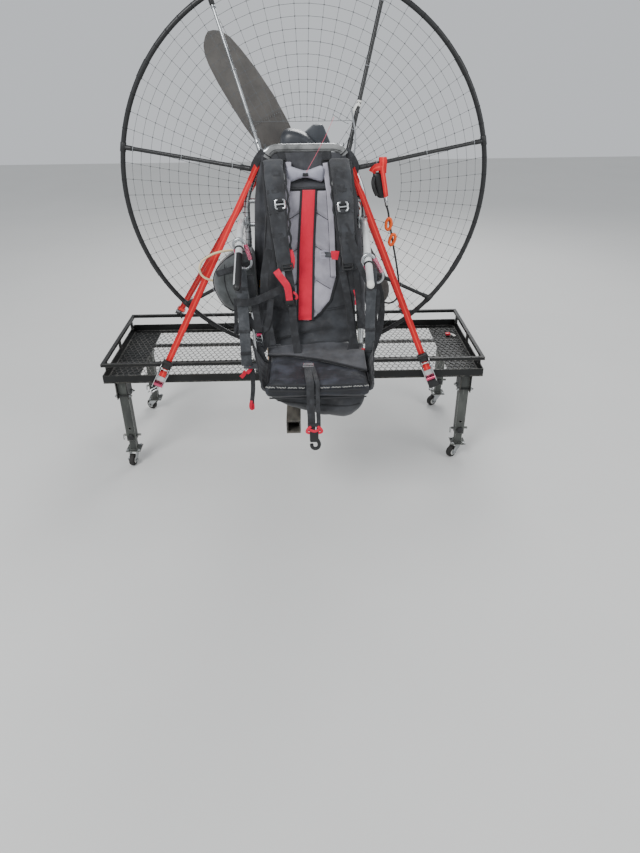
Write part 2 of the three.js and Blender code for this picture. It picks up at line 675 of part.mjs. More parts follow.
// Header, expansion chamber and silencer
function buildExhaust() {
  const y = ENGINE_Y;
  const header = pipe([
    [-50.4, y, 925], [-150, y, 925], [-150, y, 770], [-100, y, 770],
  ], 16, { bend: 48, step: 24 });
  const half = 130;
  const profile = [[0, -half], [18, -half], [42, -half + 60], [42, half - 70], [16, half], [0, half]]
    .map(([r, x]) => new THREE.Vector2(r, x));
  const chamber = new THREE.LatheGeometry(profile, 16).rotateZ(-Math.PI / 2).translate(0, y, 770);
  const link = pipe([[100, y, 770], [168, y, 770], [168, y, 860]], 11, { bend: 36, step: 20 });
  const silencer = rodZ(32, 835, 985, 168, y, 16);
  const tail = pipe([[168, y, 980], [168, y, 1015], [200, y + 20, 1030]], 9, { bend: 20, step: 14 });
  place(motor, 'exhaust', joined(header, chamber, link, silencer, tail), 'exhaust');
}

// Hub with two blade roots, and each blade in its cloth sleeve
function buildPropeller() {
  const rotor = new THREE.Group();
  rotor.position.set(0, 0, HUB_Z);
  rotor.rotation.y = -THREE.MathUtils.degToRad(PROPELLER_ANGLE);
  motor.add(rotor);
  const roots = box(-COVER_START + GAP, PROPELLER_Y - 12, -28, COVER_START - GAP, PROPELLER_Y + 12, 28);
  const hub = joined(rodY(HUB_RADIUS, HUB_FRONT_Y, HUB_BACK_Y, 0, 0, 24), roots);
  place(rotor, 'propeller_hub', hub, 'hub');
  const sleeve = new THREE.Shape();
  sleeve.moveTo(COVER_START, -42);
  sleeve.quadraticCurveTo(190, -60, 300, -64);
  sleeve.quadraticCurveTo(451, -60, 537, -29);
  sleeve.quadraticCurveTo(PROPELLER_TIP, -8, PROPELLER_TIP, 16);
  sleeve.quadraticCurveTo(PROPELLER_TIP - 4, 52, 530, 66);
  sleeve.quadraticCurveTo(460, 82, 350, 84);
  sleeve.quadraticCurveTo(190, 86, COVER_START, 46);
  const y0 = PROPELLER_Y - COVER_THICK / 2;
  const y1 = PROPELLER_Y + COVER_THICK / 2;
  place(rotor, 'blade_cover_upper', slabXZ(sleeve, y0, y1, 10), 'cover');
  const lower = slabXZ(sleeve, y0, y1, 10).rotateY(Math.PI);
  place(rotor, 'blade_cover_lower', lower, 'cover');
}

function buildHandle() {
  const y = FRAME_Y - FRAME_TUBE - 13 - 0.4;
  const z = FRAME_TOP_Z;
  const points = [[-118, y, z - 16], [-104, y, z], [104, y, z], [118, y, z - 16]];
  place(motor, 'top_handle', pipe(points, 13, { bend: 14, step: 24, sides: 8 }), 'handle_foam');
}

function buildBackrest() {
  const side = outline([
    [BACK_PLANE_Y, BACKREST_TOP], [-328, BACKREST_TOP], [-345, 1000], [-420, 700], [SEAT_BACK_Y + GAP, 602],
    [SEAT_BACK_Y + GAP, 545], [-425, 545], [-330, 640], [BACK_PLANE_Y, 820],
  ].reverse());
  const front = outline([
    [-146, 545], [160, 545], [168, 640], [160, 880], [142, 1050], [122, BACKREST_TOP], [-118, BACKREST_TOP],
    [-140, 1050], [-158, 880], [-152, 700],
  ]);
  const body = solid(slabYZ(side, -200, 200)).intersect(solid(slabXZ(front, -500, -200)));
  const flap = solid(box(-66, -292, 1100, 64, -272, 1226));
  place(motor, 'backrest', toGeometry(body.add(flap)), 'harness');
  const top = BACKREST_TOP + GAP;
  const bow = new THREE.Shape();
  bow.moveTo(-66, top);
  bow.quadraticCurveTo(0, top + 22, 66, top);
  bow.lineTo(66, 1206);
  bow.quadraticCurveTo(56, 1216, 44, 1206);
  bow.quadraticCurveTo(0, 1176, -44, 1206);
  bow.quadraticCurveTo(-56, 1216, -66, 1206);
  place(motor, 'headrest', slabXZ(bow, -334, -296), 'headrest');
}

function buildSeat() {
  const side = outline([
    [SEAT_BACK_Y, SEAT_TOP], [SEAT_BACK_Y, SEAT_BOTTOM], [SEAT_FRONT_Y + 10, SEAT_BOTTOM],
    [SEAT_FRONT_Y, SEAT_BOTTOM + 12], [SEAT_FRONT_Y, SEAT_TOP - 14], [SEAT_FRONT_Y + 14, SEAT_TOP],
  ].reverse());
  place(motor, 'seat_cushion', slabYZ(side, SEAT_LEFT_X, SEAT_RIGHT_X), 'seat');
  const top = SEAT_BOTTOM - GAP;
  const bag = outline([
    [-132, top], [-127, 528], [-62, 478], [41, 443], [121, 430], [170, 452], [190, 507], [190, top],
  ]);
  place(motor, 'seat_bag', slabXZ(bag, -692, -500), 'harness');
}

// Padded shoulder straps with the webbing that runs on down to the seat, both leaning a little
function buildShoulderStraps() {
  const topZ = 1210;
  const lean = -0.092;
  const pad = [
    [BACK_PLANE_Y - 5, SHOULDER_BAR_Z - topZ], [-300, 8], [-348, -14], [-395, -100],
    [-430, -210], [-438, -280], [-428, -328],
  ];
  const web = [[-432, -320], [-446, -430], [-474, -542], [-500, SEAT_TOP - 0.4 - topZ]];
  const straps = [
    // name, x at the top, half the pad's width
    ['left', -105, 30],
    ['right', 122, 34],
  ];
  for (const [name, x, half] of straps) {
    const strap = joined(band(pad, 16, -half, half), band(web, 3, -13, 13));
    place(motor, `shoulder_strap_${name}`, strap, 'harness', [x, 0, topZ]).rotation.y = lean;
  }
}

// Webbing from each arm down to the side of the seat
function buildSideStraps() {
  const sides = [
    // name, low x, high x, x of the seat's side, y and z at the arm
    ['left', -240, -202, SEAT_LEFT_X - GAP, -500, 915.2],
    ['right', 198, 232, SEAT_RIGHT_X + GAP, -507, 911.6],
  ];
  for (const [name, x0, x1, seatX, armY, armZ] of sides) {
    const foot = box(Math.min(seatX, x0 + 2), -540, 570, Math.max(seatX, x1 - 2), -500, 575);
    const strap = joined(band([[armY, armZ], [armY - 3, 760], [-520, 570]], 4, x0, x1), foot);
    place(motor, `side_strap_${name}`, strap, 'harness');
  }
}

function buildPouch() {
  const shape = new THREE.Shape();
  shape.moveTo(-190, 925);
  shape.lineTo(-250, 936);
  shape.quadraticCurveTo(-336, 912, -334, 820);
  shape.quadraticCurveTo(-326, 742, -268, 718);
  shape.lineTo(-190, 730);
  place(motor, 'side_pouch', slabXZ(shape, -385, FRAME_Y - FRAME_TUBE - GAP, 12), 'harness');
}

// Weight-shift arms, and the carabiner hung on each
function buildArms() {
  const root = new THREE.Vector3(0, FRAME_Y - FRAME_TUBE - GAP, 1015);
  const knee = new THREE.Vector3(0, -335, 1015);
  const tip = new THREE.Vector3(0, -602, 878);
  const arms = [
    // name, x, how far along the arm its carabiner hangs
    ['left', -228, 0.3],
    ['right', 204, 0.58],
  ];
  for (const [name, x, along] of arms) {
    const points = [root, knee, tip].map((p) => [x, p.y, p.z]);
    place(motor, `arm_${name}`, pipe(points, ARM_RADIUS, { bend: 40, step: 26 }), 'arm');
    const hang = knee.clone().lerp(tip, along);
    const inner = 16;
    const wall = 8;
    const drop = 60;
    const ring = new THREE.Shape();
    ring.absarc(0, 0, inner + wall, 0, Math.PI, false);
    ring.absarc(0, -drop, inner + wall, Math.PI, 2 * Math.PI, false);
    const eye = new THREE.Path();
    eye.absarc(0, 0, inner, 0, Math.PI, false);
    eye.absarc(0, -drop, inner, Math.PI, 2 * Math.PI, false);
    ring.holes.push(eye);
    place(motor, `carabiner_${name}`, slabXZ(ring, -4, 4), 'carabiner', [x, hang.y, hang.z]);
  }
}

// Throttle hung by its strap under the right spar, with its cable
function buildThrottle() {
  const handle = slabXZ(roundedBar(250, 1056, 292, 1172, 12), -238, -208, 6);
  const strap = box(258, -226, 1165, 284, -220, 1193.8);
  place(motor, 'throttle', joined(handle, strap), 'control');
}

const THROTTLE_CABLE = [
  // x, y, z from the bottom of the handle to the clip on the frame's right tube
  [272, -223, 1055.7], [274, -223, 1035], [284, -223, 990], [302, -223, 930], [322, -224, 870],
  [340, -225, 810], [350, -227, 765], [350, -230, 730], [337, -234, 706], [314, -239, 698],
  [288, -244, 706], [264, -248, 722], [240, -250, 736], [218.8, -250, 744],
];

function buildThrottleCable() {
  const points = THROTTLE_CABLE.map(([x, y, z]) => new THREE.Vector3(x, y, z));
  const extrudePath = new THREE.CatmullRomCurve3(points);
  const geometry = new THREE.ExtrudeGeometry(circle(3.5, 8), { steps: 32, extrudePath });
  place(motor, 'throttle_cable', geometry, 'control');
}

// Webbing that runs over the front of the seat and hangs, with its buckle
function buildSeatStrap() {
  const lift = 1.5 + GAP;
  const web = band([
    [-560, SEAT_TOP + lift], [SEAT_FRONT_Y + 14, SEAT_TOP + lift], [SEAT_FRONT_Y - lift - 1, SEAT_TOP - 12],
    [SEAT_FRONT_Y - lift, 470], [SEAT_FRONT_Y - lift, 380],
  ], 3, -4, 28);
  const buckle = box(-4, FRONT_LIMIT_Y, 350, 28, SEAT_FRONT_Y - 1, 396);
  place(motor, 'seat_strap', joined(web, buckle), 'harness');
}

// A tie-down: flat red webbing, a ratchet and the hook under the tray
function buildTies() {
  const fronts = [
    // name, top x, top z, ratchet x, both from the carrier's middle
    ['left', -115, 1182, -531],
    ['right', 230, 1170, 503],
  ];
  const topY = FRAME_Y - FRAME_TUBE - 1.6;
  const lowY = -TRAY_DEPTH / 2 - 18;
  for (const [name, x0, z0, x1] of fronts) {
    const top = new THREE.Vector3(x0, topY, z0);
    const low = new THREE.Vector3(x1, lowY, 475);
    const along = top.clone().sub(low);
    const length = along.length();
    along.normalize();
    const web = box(-12.5, -1.25, 0, 12.5, 1.25, length);
    const ratchet = box(-21, -11, -105, 21, 11, 8);
    const tie = new THREE.Group();
    tie.position.copy(low);
    tie.quaternion.setFromUnitVectors(new THREE.Vector3(0, 0, 1), along);
    carrier.add(tie);
    place(tie, `tie_down_front_${name}`, joined(web, ratchet), 'red_web');
  }
  const rears = [['left', -529], ['right', 505]];
  for (const [name, x] of rears) {
    const inside = TRAY_DEPTH / 2 - RAIL_SIZE - GAP;
    const hook = box(x - 12, inside - 8, RAIL_TOP + GAP, x + 12, TRAY_DEPTH / 2 - 2, RAIL_TOP + 4);
    const body = box(x - 21, inside - 22, 412, x + 21, inside, RAIL_TOP + 34);
    place(carrier, `tie_down_rear_${name}`, joined(hook, body), 'red_web');
  }
}

buildTray();
buildRail();
buildDeck();
buildHitch();
buildLegs();
buildCasters();
buildFrame();
buildSpars();
buildHoop();
buildNet();
buildBase();
buildTank();
buildEngine();
buildCylinder();
buildAirbox();
buildExhaust();
buildPropeller();
buildHandle();
buildBackrest();
buildSeat();
buildShoulderStraps();
buildSideStraps();
buildPouch();
buildArms();
buildThrottle();
buildThrottleCable();
buildSeatStrap();
buildTies();

export default whole;
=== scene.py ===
"""Finishes, cloth, webbing and rigging of a paramotor tied down on a hitch carrier.

Everything is in metres, in the frame of the solid model: +Z up, the pilot's side towards -Y.
"""

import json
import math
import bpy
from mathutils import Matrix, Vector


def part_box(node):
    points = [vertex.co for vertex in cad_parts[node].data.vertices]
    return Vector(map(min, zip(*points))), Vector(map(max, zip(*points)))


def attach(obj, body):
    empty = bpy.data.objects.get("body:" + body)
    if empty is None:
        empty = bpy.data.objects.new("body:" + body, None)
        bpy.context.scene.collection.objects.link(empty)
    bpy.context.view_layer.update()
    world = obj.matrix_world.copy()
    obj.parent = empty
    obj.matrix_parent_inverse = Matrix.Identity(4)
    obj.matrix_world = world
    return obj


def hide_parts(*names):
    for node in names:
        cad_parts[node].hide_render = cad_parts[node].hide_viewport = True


bl_info = {
    "name": "Paramotor on a Hitch Carrier",
    "version": (1, 0, 0),
    "blender": (4, 5, 0),
    "location": "3D View > Sidebar > Paramotor",
    "description": "Dresses a tied-down paramotor: tubes, net, engine, harness, webbing and deck",
    "category": "Object",
}

from functools import partial

import bmesh
import bpy
import numpy as np
from bpy.props import FloatProperty, PointerProperty
from mathutils import Matrix, Quaternion, Vector, noise

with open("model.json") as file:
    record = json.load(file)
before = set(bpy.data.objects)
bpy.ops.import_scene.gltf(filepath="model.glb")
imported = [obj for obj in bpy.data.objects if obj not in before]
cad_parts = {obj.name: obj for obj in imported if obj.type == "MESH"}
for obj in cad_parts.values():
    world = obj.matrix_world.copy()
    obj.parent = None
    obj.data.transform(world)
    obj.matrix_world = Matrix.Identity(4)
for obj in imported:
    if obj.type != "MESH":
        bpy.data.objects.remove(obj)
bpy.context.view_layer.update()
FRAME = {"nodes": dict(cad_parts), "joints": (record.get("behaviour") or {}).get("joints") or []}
NODES = FRAME["nodes"]

# The motor's middle plane, and the carrier's middle, in the part's own frame
MOTOR_X = 0.060
CARRIER_Y = 0.235
WEAVE = "weave"
FRONT, REAR = Vector((0, -1, 0)), Vector((0, 1, 0))
UP, DOWN, RIGHT = Vector((0, 0, 1)), Vector((0, 0, -1)), Vector((1, 0, 0))
PAD_PRESSURE, PAD_FRAMES = 4.0, 20


def spot(x, y, z):
    """A place given in millimetres from the motor's middle plane and the carrier's middle."""
    return Vector((x / 1000 + MOTOR_X, y / 1000 + CARRIER_Y, z / 1000))


def tray_spot(x, y, z):
    """A place given in millimetres from the carrier's middle, on the floor."""
    return Vector((x / 1000, y / 1000 + CARRIER_Y, z / 1000))


def spots(points):
    return [spot(*point) for point in points]


def settings():
    return bpy.context.scene.paramotor


# Shader maths

class Field:
    """A socket of a material. Arithmetic on it adds Math nodes to the material."""

    def __init__(self, finish, socket):
        self.finish = finish
        self.socket = socket

    def math(self, operation, *others):
        return self.finish.math(operation, self, *others)

    def __add__(self, other):
        return self.finish.math("ADD", self, other)

    def __radd__(self, other):
        return self.finish.math("ADD", other, self)

    def __sub__(self, other):
        return self.finish.math("SUBTRACT", self, other)

    def __rsub__(self, other):
        return self.finish.math("SUBTRACT", other, self)

    def __mul__(self, other):
        return self.finish.math("MULTIPLY", self, other)

    def sine(self):
        return self.math("SINE")

    def step(self, low, high):
        """0 below low and 1 above high, with a smooth edge between them."""
        options = {"interpolation_type": "SMOOTHSTEP"}
        return self.finish.node("ShaderNodeMapRange", options, {0: self, 1: low, 2: high})


class Finish:
    """A material under construction, with its Principled shader and the maths in front of it."""

    def __init__(self, name, **constants):
        self.material = bpy.data.materials.new(name)
        self.material.use_nodes = True
        self.tree = self.material.node_tree
        self.shader = next(n for n in self.tree.nodes if n.type == "BSDF_PRINCIPLED")
        self.set(**constants)

    def node(self, kind, options=None, inputs=None, output=0):
        made = self.tree.nodes.new(kind)
        for key, value in (options or {}).items():
            if key == "stops":
                self.set_stops(made.color_ramp, value)
            else:
                setattr(made, key, value)
        for key, value in (inputs or {}).items():
            if isinstance(value, Field):
                self.tree.links.new(value.socket, made.inputs[key])
            else:
                made.inputs[key].default_value = value
        return Field(self, made.outputs[output])

    @staticmethod
    def set_stops(ramp, stops):
        while len(ramp.elements) < len(stops):
            ramp.elements.new(1.0)
        for element, (position, color) in zip(ramp.elements, stops):
            element.position = position
            element.color = (*color, 1.0)

    def math(self, operation, *operands):
        return self.node("ShaderNodeMath", {"operation": operation}, dict(enumerate(operands)))

    def set(self, **values):
        """Sets the shader's own sockets, such as base_color or roughness."""
        for key, value in values.items():
            socket = self.shader.inputs[key.replace("_", " ").title().replace("Ior", "IOR")]
            if isinstance(value, Field):
                self.tree.links.new(value.socket, socket)
            elif socket.type == "RGBA":
                socket.default_value = (*value, 1.0)
            else:
                socket.default_value = value
        return self

    def place(self):
        """Coordinates in metres that stay on the piece when it moves."""
        return self.node("ShaderNodeTexCoord", output="Object")

    def along(self):
        """Coordinates along and across a strap or tube, in metres."""
        return self.node("ShaderNodeAttribute", {"attribute_name": WEAVE}, output="Vector")

    def axes(self, vector):
        split = self.tree.nodes.new("ShaderNodeSeparateXYZ")
        self.tree.links.new(vector.socket, split.inputs[0])
        return [Field(self, socket) for socket in split.outputs]

    def scaled(self, vector, factors):
        return self.node("ShaderNodeVectorMath", {"operation": "MULTIPLY"}, {0: vector, 1: factors})

    def noise(self, scale, detail=3.0, stretch=None):
        where = self.scaled(self.place(), stretch) if stretch else self.place()
        inputs = {"Vector": where, "Scale": scale, "Detail": detail, "Roughness": 0.55}
        return self.node("ShaderNodeTexNoise", None, inputs)

    def mix(self, factor, first, second):
        def colour(value):
            return value if isinstance(value, Field) else (*value, 1.0)
        inputs = {0: factor, 6: colour(first), 7: colour(second)}
        return self.node("ShaderNodeMix", {"data_type": "RGBA"}, inputs, output=2)

    def bump(self, height, distance, strength=1.0):
        """Raises the surface by the height field times a distance in metres."""
        inputs = {"Height": height, "Distance": distance, "Strength": strength}
        return self.set(normal=self.node("ShaderNodeBump", None, inputs))

    def edge(self, radius=0.0025):
        """1 on worn edges and 0 on flat faces."""
        rounded = self.node("ShaderNodeBevel", {"samples": 4}, {"Radius": radius})
        plain = self.node("ShaderNodeNewGeometry", output="Normal")
        dot = self.node("ShaderNodeVectorMath", {"operation": "DOT_PRODUCT"}, {0: rounded, 1: plain},
                        output="Value")
        return (1 - dot).step(0.08 * 0.3, 0.08)


# Shapes

def smooth_path(points, step=0.008):
    """Points along a smooth curve through the given ones, about one step apart."""
    ends = [points[0] * 2 - points[1], *points, points[-1] * 2 - points[-2]]
    path = []
    for a, b, c, d in zip(ends, ends[1:], ends[2:], ends[3:]):
        count = max(1, round((c - b).length / step))
        for i in range(count):
            t = i / count
            path.append(0.5 * (2 * b + (c - a) * t + (2 * a - 5 * b + 4 * c - d) * t ** 2
                               + (3 * b - a - 3 * c + d) * t ** 3))
    return [*path, points[-1].copy()]


def circle(count):
    """The cosine and sine of equal steps round a circle."""
    return [(math.cos(2 * math.pi * (i / count)), math.sin(2 * math.pi * (i / count)))
            for i in range(count)]


def ring_path(centre, first, second, count=64):
    """Points on an ellipse whose half axes are the two vectors."""
    return [centre + first * c + second * s for c, s in circle(count)]


def squared(value, power):
    """A cosine or sine pulled towards its ends, so that a circle becomes a rounded rectangle."""
    return math.copysign(abs(value) ** power, value)


def ripple(x, y, z):
    """Smooth noise between about -1 and 1."""
    return noise.noise(Vector((x, y, z)))


def tangents(path, closed=False):
    count = len(path)
    found = []
    for i in range(count):
        before = path[i - 1] if i or closed else path[0]
        after = path[(i + 1) % count] if i < count - 1 or closed else path[-1]
        found.append((after - before).normalized())
    return found


def round_section(width, thickness, corner=4):
    """A rounded flat section as (across, out) pairs."""
    radius = min(width, thickness) / 2
    points = []
    for side_x, side_y, start in ((1, 1, 0), (-1, 1, 90), (-1, -1, 180), (1, -1, 270)):
        for i in range(corner + 1):
            angle = math.radians(start + 90 * i / corner)
            points.append((side_x * (width / 2 - radius) + radius * math.cos(angle),
                           side_y * (thickness / 2 - radius) + radius * math.sin(angle)))
    return points


def flat_section(width, thickness):
    """Webbing: a flat section with slightly rounded edges."""
    x, y, r = width / 2, thickness / 2, thickness * 0.35
    flat = (x - r) * 0.86
    return [(x, -y + r), (x, y - r), (x - r, y), (flat, y), (-flat, y), (-x + r, y),
            (-x, y - r), (-x, -y + r), (-x + r, -y), (-flat, -y), (flat, -y), (x - r, -y)]


def circle_section(radius, sides):
    return [(radius * math.cos(2 * math.pi * i / sides), radius * math.sin(2 * math.pi * i / sides))
            for i in range(sides)]


class Solids:
    """Collects closed shapes, each with its finish, and makes one piece of them."""

    def __init__(self):
        self.bm = bmesh.new()
        self.weave = self.bm.verts.layers.float_vector.new(WEAVE)
        self.finishes = []

    def index(self, maker):
        finish = paint(maker)
        if finish not in self.finishes:
            self.finishes.append(finish)
        return self.finishes.index(finish)

    def loft(self, rings, finish, weaves=None, closed=False):
        """Skins rings of equal length. closed joins the last ring to the first."""
        slot = self.index(finish)
        rows = []
        for i, ring in enumerate(rings):
            row = [self.bm.verts.new(point) for point in ring]
            for j, vertex in enumerate(row):
                vertex[self.weave] = weaves[i][j] if weaves else (0, 0, 0)
            rows.append(row)
        pairs = list(zip(rows, rows[1:])) + ([(rows[-1], rows[0])] if closed else [])
        made = []
        for low, high in pairs:
            for j in range(len(low)):
                k = (j + 1) % len(low)
                made.append(self.bm.faces.new((low[j], low[k], high[k], high[j])))
        if not closed:
            made.append(self.bm.faces.new(rows[0][::-1]))
            made.append(self.bm.faces.new(rows[-1]))
        for face in made:
            face.material_index = slot
            face.smooth = True
        return rows

    def sweep(self, path, section, finish, facing=None, closed=False, scale=None):
        """Carries a section along a path. facing is its thickness's way: one vector, or one a point."""
        ways = tangents(path, closed)
        out = None
        length = 0.0
        rings, weaves = [], []
        for i, (point, way) in enumerate(zip(path, ways)):
            if facing is None:
                guide = out if out is not None else way.orthogonal()
            else:
                guide = facing[i] if isinstance(facing, list) else facing
            out = (guide - way * guide.dot(way)).normalized()
            across = way.cross(out)
            if i:
                length += (point - path[i - 1]).length
            size = scale(i / max(1, len(path) - 1)) if scale else 1.0
            wide, thick = size if isinstance(size, tuple) else (size, size)
            rings.append([point + (across * a * wide + out * b * thick) for a, b in section])
            weaves.append([(length, a * wide, b * thick) for a, b in section])
        return self.loft(rings, finish, weaves, closed)

    def tube(self, path, radius, finish, sides=12, closed=False, scale=None):
        return self.sweep(path, circle_section(radius, sides), finish, closed=closed, scale=scale)

    def strap(self, points, width, finish, facing=FRONT, thick=0.002, step=0.01):
        return self.sweep(smooth_path(points, step), flat_section(width, thick), finish, facing)

    def rod(self, start, end, radius, finish, sides=20):
        """A round bar with chamfered ends."""
        axis = (end - start).normalized()
        chamfer = min(radius * 0.2, (end - start).length * 0.3)
        path = [start, start + axis * chamfer, end - axis * chamfer, end]
        shrink = (radius - chamfer) / radius
        sizes = [shrink, 1.0, 1.0, shrink]
        out = axis.orthogonal().normalized()
        rings = []
        for point, size in zip(path, sizes):
            across = axis.cross(out)
            rings.append([point + (across * a + out * b) * size for a, b in circle_section(radius, sides)])
        return self.loft(rings, finish)

    def turned(self, start, axis, profile, finish, sides=24):
        """A body of revolution: profile is (distance along the axis, radius) pairs."""
        axis = axis.normalized()
        out = axis.orthogonal().normalized()
        across = axis.cross(out)
        rings = []
        for distance, radius in profile:
            rings.append([start + axis * distance + (across * a + out * b)
                          for a, b in circle_section(max(radius, 1e-5), sides)])
        return self.loft(rings, finish)

    def hexagon(self, centre, axis, across_flats, height, finish):
        """A nut or bolt head standing on its centre along the axis."""
        radius = across_flats / math.sqrt(3)
        profile = [(0, radius), (height * 0.8, radius), (height, radius * 0.86)]
        return self.turned(centre, axis, profile, finish, sides=6)

    def box(self, centre, size, finish, turn=None, round_by=0.001):
        """A box with rounded edges, turned about its centre."""
        made = bmesh.ops.create_cube(self.bm, size=1.0)["verts"]
        matrix = Matrix.Translation(centre) @ (turn.to_matrix().to_4x4() if turn else Matrix.Identity(4))
        matrix = matrix @ Matrix.Diagonal((*size, 1.0))
        bmesh.ops.transform(self.bm, matrix=matrix, verts=made)
        faces = {face for vertex in made for face in vertex.link_faces}
        edges = {edge for vertex in made for edge in vertex.link_edges}
        slot = self.index(finish)
        if round_by:
            beveled = bmesh.ops.bevel(self.bm, geom=list(edges), offset=round_by, segments=2,
                                      affect="EDGES", profile=0.5, clamp_overlap=True)
            faces = {face for vertex in beveled["verts"] for face in vertex.link_faces}
        for face in faces:
            face.material_index = slot
            face.smooth = True

    def make(self, name, body="carrier", replaces=(), crease=40):
        """Turns what was collected into one piece that rides on a body."""
        bmesh.ops.recalc_face_normals(self.bm, faces=self.bm.faces)
        mesh = bpy.data.meshes.new(name)
        self.bm.to_mesh(mesh)
        self.bm.free()
        for finish in self.finishes:
            mesh.materials.append(finish)
        mesh.set_sharp_from_angle(angle=math.radians(crease))
        made = bpy.data.objects.new(name, mesh)
        bpy.context.scene.collection.objects.link(made)
        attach(made, body)
        if replaces:
            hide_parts(*replaces)
        return made


def apply_modifiers(thing):
    """Bakes a piece's modifiers into its mesh."""
    graph = bpy.context.evaluated_depsgraph_get()
    graph.update()
    mesh = bpy.data.meshes.new_from_object(thing.evaluated_get(graph))
    old = thing.data
    thing.modifiers.clear()
    thing.data = mesh
    bpy.data.meshes.remove(old)


def subdivide(thing, levels):
    modifier = thing.modifiers.new("Smooth", "SUBSURF")
    modifier.levels = modifier.render_levels = levels
    apply_modifiers(thing)


def inflate(thing, voxel, cap):
    """Puffs a closed soft shape like a sewn pad: remesh, simulate with inner pressure, cap, smooth."""
    remesh = thing.modifiers.new("Remesh", "REMESH")
    remesh.mode = "VOXEL"
    remesh.voxel_size = voxel
    apply_modifiers(thing)
    before = np.array([vertex.co for vertex in thing.data.vertices])
    cloth = thing.modifiers.new("Cloth", "CLOTH")
    cloth.settings.use_pressure = True
    cloth.settings.uniform_pressure_force = PAD_PRESSURE
    cloth.settings.effector_weights.gravity = 0.0
    cloth.settings.quality = 5
    cloth.point_cache.frame_start = 1
    cloth.point_cache.frame_end = PAD_FRAMES
    scene = bpy.context.scene
    for frame in range(1, PAD_FRAMES + 1):
        scene.frame_set(frame)
    apply_modifiers(thing)
    scene.frame_set(1)
    after = np.array([vertex.co for vertex in thing.data.vertices])
    moved = after - before
    length = np.linalg.norm(moved, axis=1, keepdims=True)
    capped = before + moved * np.minimum(1.0, cap / np.maximum(length, 1e-9))
    thing.data.vertices.foreach_set("co", capped.ravel())
    subdivide(thing, 1)
    thing.data.polygons.foreach_set("use_smooth", [True] * len(thing.data.polygons))


def finish_node(name, maker, bevel):
    """Gives a node of the solid model a finish and rounded edges."""
    thing = NODES[name]
    material = paint(maker)
    if not thing.material_slots:
        thing.data.materials.append(material)
    for entry in thing.material_slots:
        entry.link = "OBJECT"
        entry.material = material
    round_edges(thing, bevel, 2, 40)


def round_edges(thing, width, segments, angle):
    modifier = thing.modifiers.new("Rounded edges", "BEVEL")
    modifier.width = width
    modifier.segments = segments
    modifier.limit_method = "ANGLE"
    modifier.angle_limit = math.radians(angle)


# Finishes

def tone(code):
    """A colour written as in a paint chart, RRGGBB, as linear light."""
    parts = [int(code[i:i + 2], 16) / 255 for i in (0, 2, 4)]
    return tuple(c / 12.92 if c <= 0.04045 else ((c + 0.055) / 1.055) ** 2.4 for c in parts)


def metal(name, dark, light, rough, worn=None, metallic=1.0, grain=900):
    """Plated, painted or bare metal: cloudy colour, fine grain and, with a worn colour, rubbed edges."""
    finish = Finish(name, metallic=metallic)
    clouds = finish.noise(9, 4).step(0.3, 0.7)
    colour = finish.mix(clouds, tone(dark), tone(light))
    speckle = finish.noise(grain, 2)
    roughness = rough + clouds * 0.12 + speckle * 0.08 - 0.08
    if worn:
        scratches = finish.noise(60, 5, stretch=(1, 1, 0.3)).step(0.35, 0.6)
        rubbed = finish.edge() * scratches
        colour = finish.mix(rubbed, colour, tone(worn))
        roughness = roughness - rubbed * 0.1
    finish.set(base_color=colour, roughness=roughness)
    finish.bump(speckle, 0.00012, 0.5)
    return finish.material


def leg_steel():
    """Satin steel tube whose black paint has weathered to grey."""
    finish = Finish("Weathered leg paint", metallic=0.45)
    clouds = finish.noise(16, 5, stretch=(1, 1, 0.4)).step(0.25, 0.75)
    colour = finish.mix(clouds, tone("3a3c3b"), tone("5f625e"))
    scratches = finish.noise(120, 4, stretch=(1, 1, 0.12)).step(0.62, 0.75)
    colour = finish.mix(scratches * 0.6, colour, tone("8a8c88"))
    colour = finish.mix(finish.edge(0.002), colour, tone("a3a49f"))
    finish.set(base_color=colour, roughness=0.42 + clouds * 0.15)
    finish.bump(finish.noise(500, 3), 0.00015, 0.5)
    return finish.material


def deck_steel():
    """Dusty expanded metal with rubbed strands."""
    finish = Finish("Dusty expanded metal", metallic=0.3)
    dust = finish.noise(7, 5).step(0.3, 0.7)
    colour = finish.mix(dust, tone("272828"), tone("5a5956"))
    rubbed = finish.noise(160, 3).step(0.45, 0.62)
    colour = finish.mix(rubbed * 0.5, colour, tone("8f8e8a"))
    finish.set(base_color=colour, roughness=0.55 + dust * 0.2)
    finish.bump(finish.noise(600, 3), 0.0002, 0.6)
    return finish.material


def hitch_steel():
    """Black paint on the hitch tube, with road dust caked on its top."""
    finish = Finish("Dusty black hitch tube", metallic=0.2)
    _, _, height = finish.axes(finish.place())
    clouds = finish.noise(22, 5, stretch=(2.5, 0.7, 1)).step(0.25, 0.7)
    inside = height.step(0.3480, 0.3488) * (1 - height.step(0.3532, 0.3540))
    dust = (height.step(0.394, 0.3966) + inside * 0.8) * (0.35 + clouds * 0.65)
    colour = finish.mix(clouds, tone("151617"), tone("2b2b2b"))
    colour = finish.mix(dust, colour, tone("77736a"))
    colour = finish.mix(finish.edge(0.002), colour, tone("8a857b"))
    finish.set(base_color=colour, roughness=0.5 + dust * 0.3)
    finish.bump(finish.noise(400, 4), 0.0003, 0.6)
    return finish.material


def black_tube():
    """Black lacquered tube with a soft coat and a few small chips."""
    finish = Finish("Black lacquered tube", metallic=0.0, coat_weight=0.2, coat_roughness=0.15)
    chips = finish.noise(70, 3).step(0.78, 0.8)
    clouds = finish.noise(12, 3)
    colour = finish.mix(clouds, tone("0a0b0c"), tone("191b1d"))
    colour = finish.mix(chips, colour, tone("7d7f80"))
    finish.set(base_color=colour, roughness=0.5 + clouds * 0.14 + chips * 0.2)
    finish.bump(chips, -0.00004, 0.3)
    return finish.material


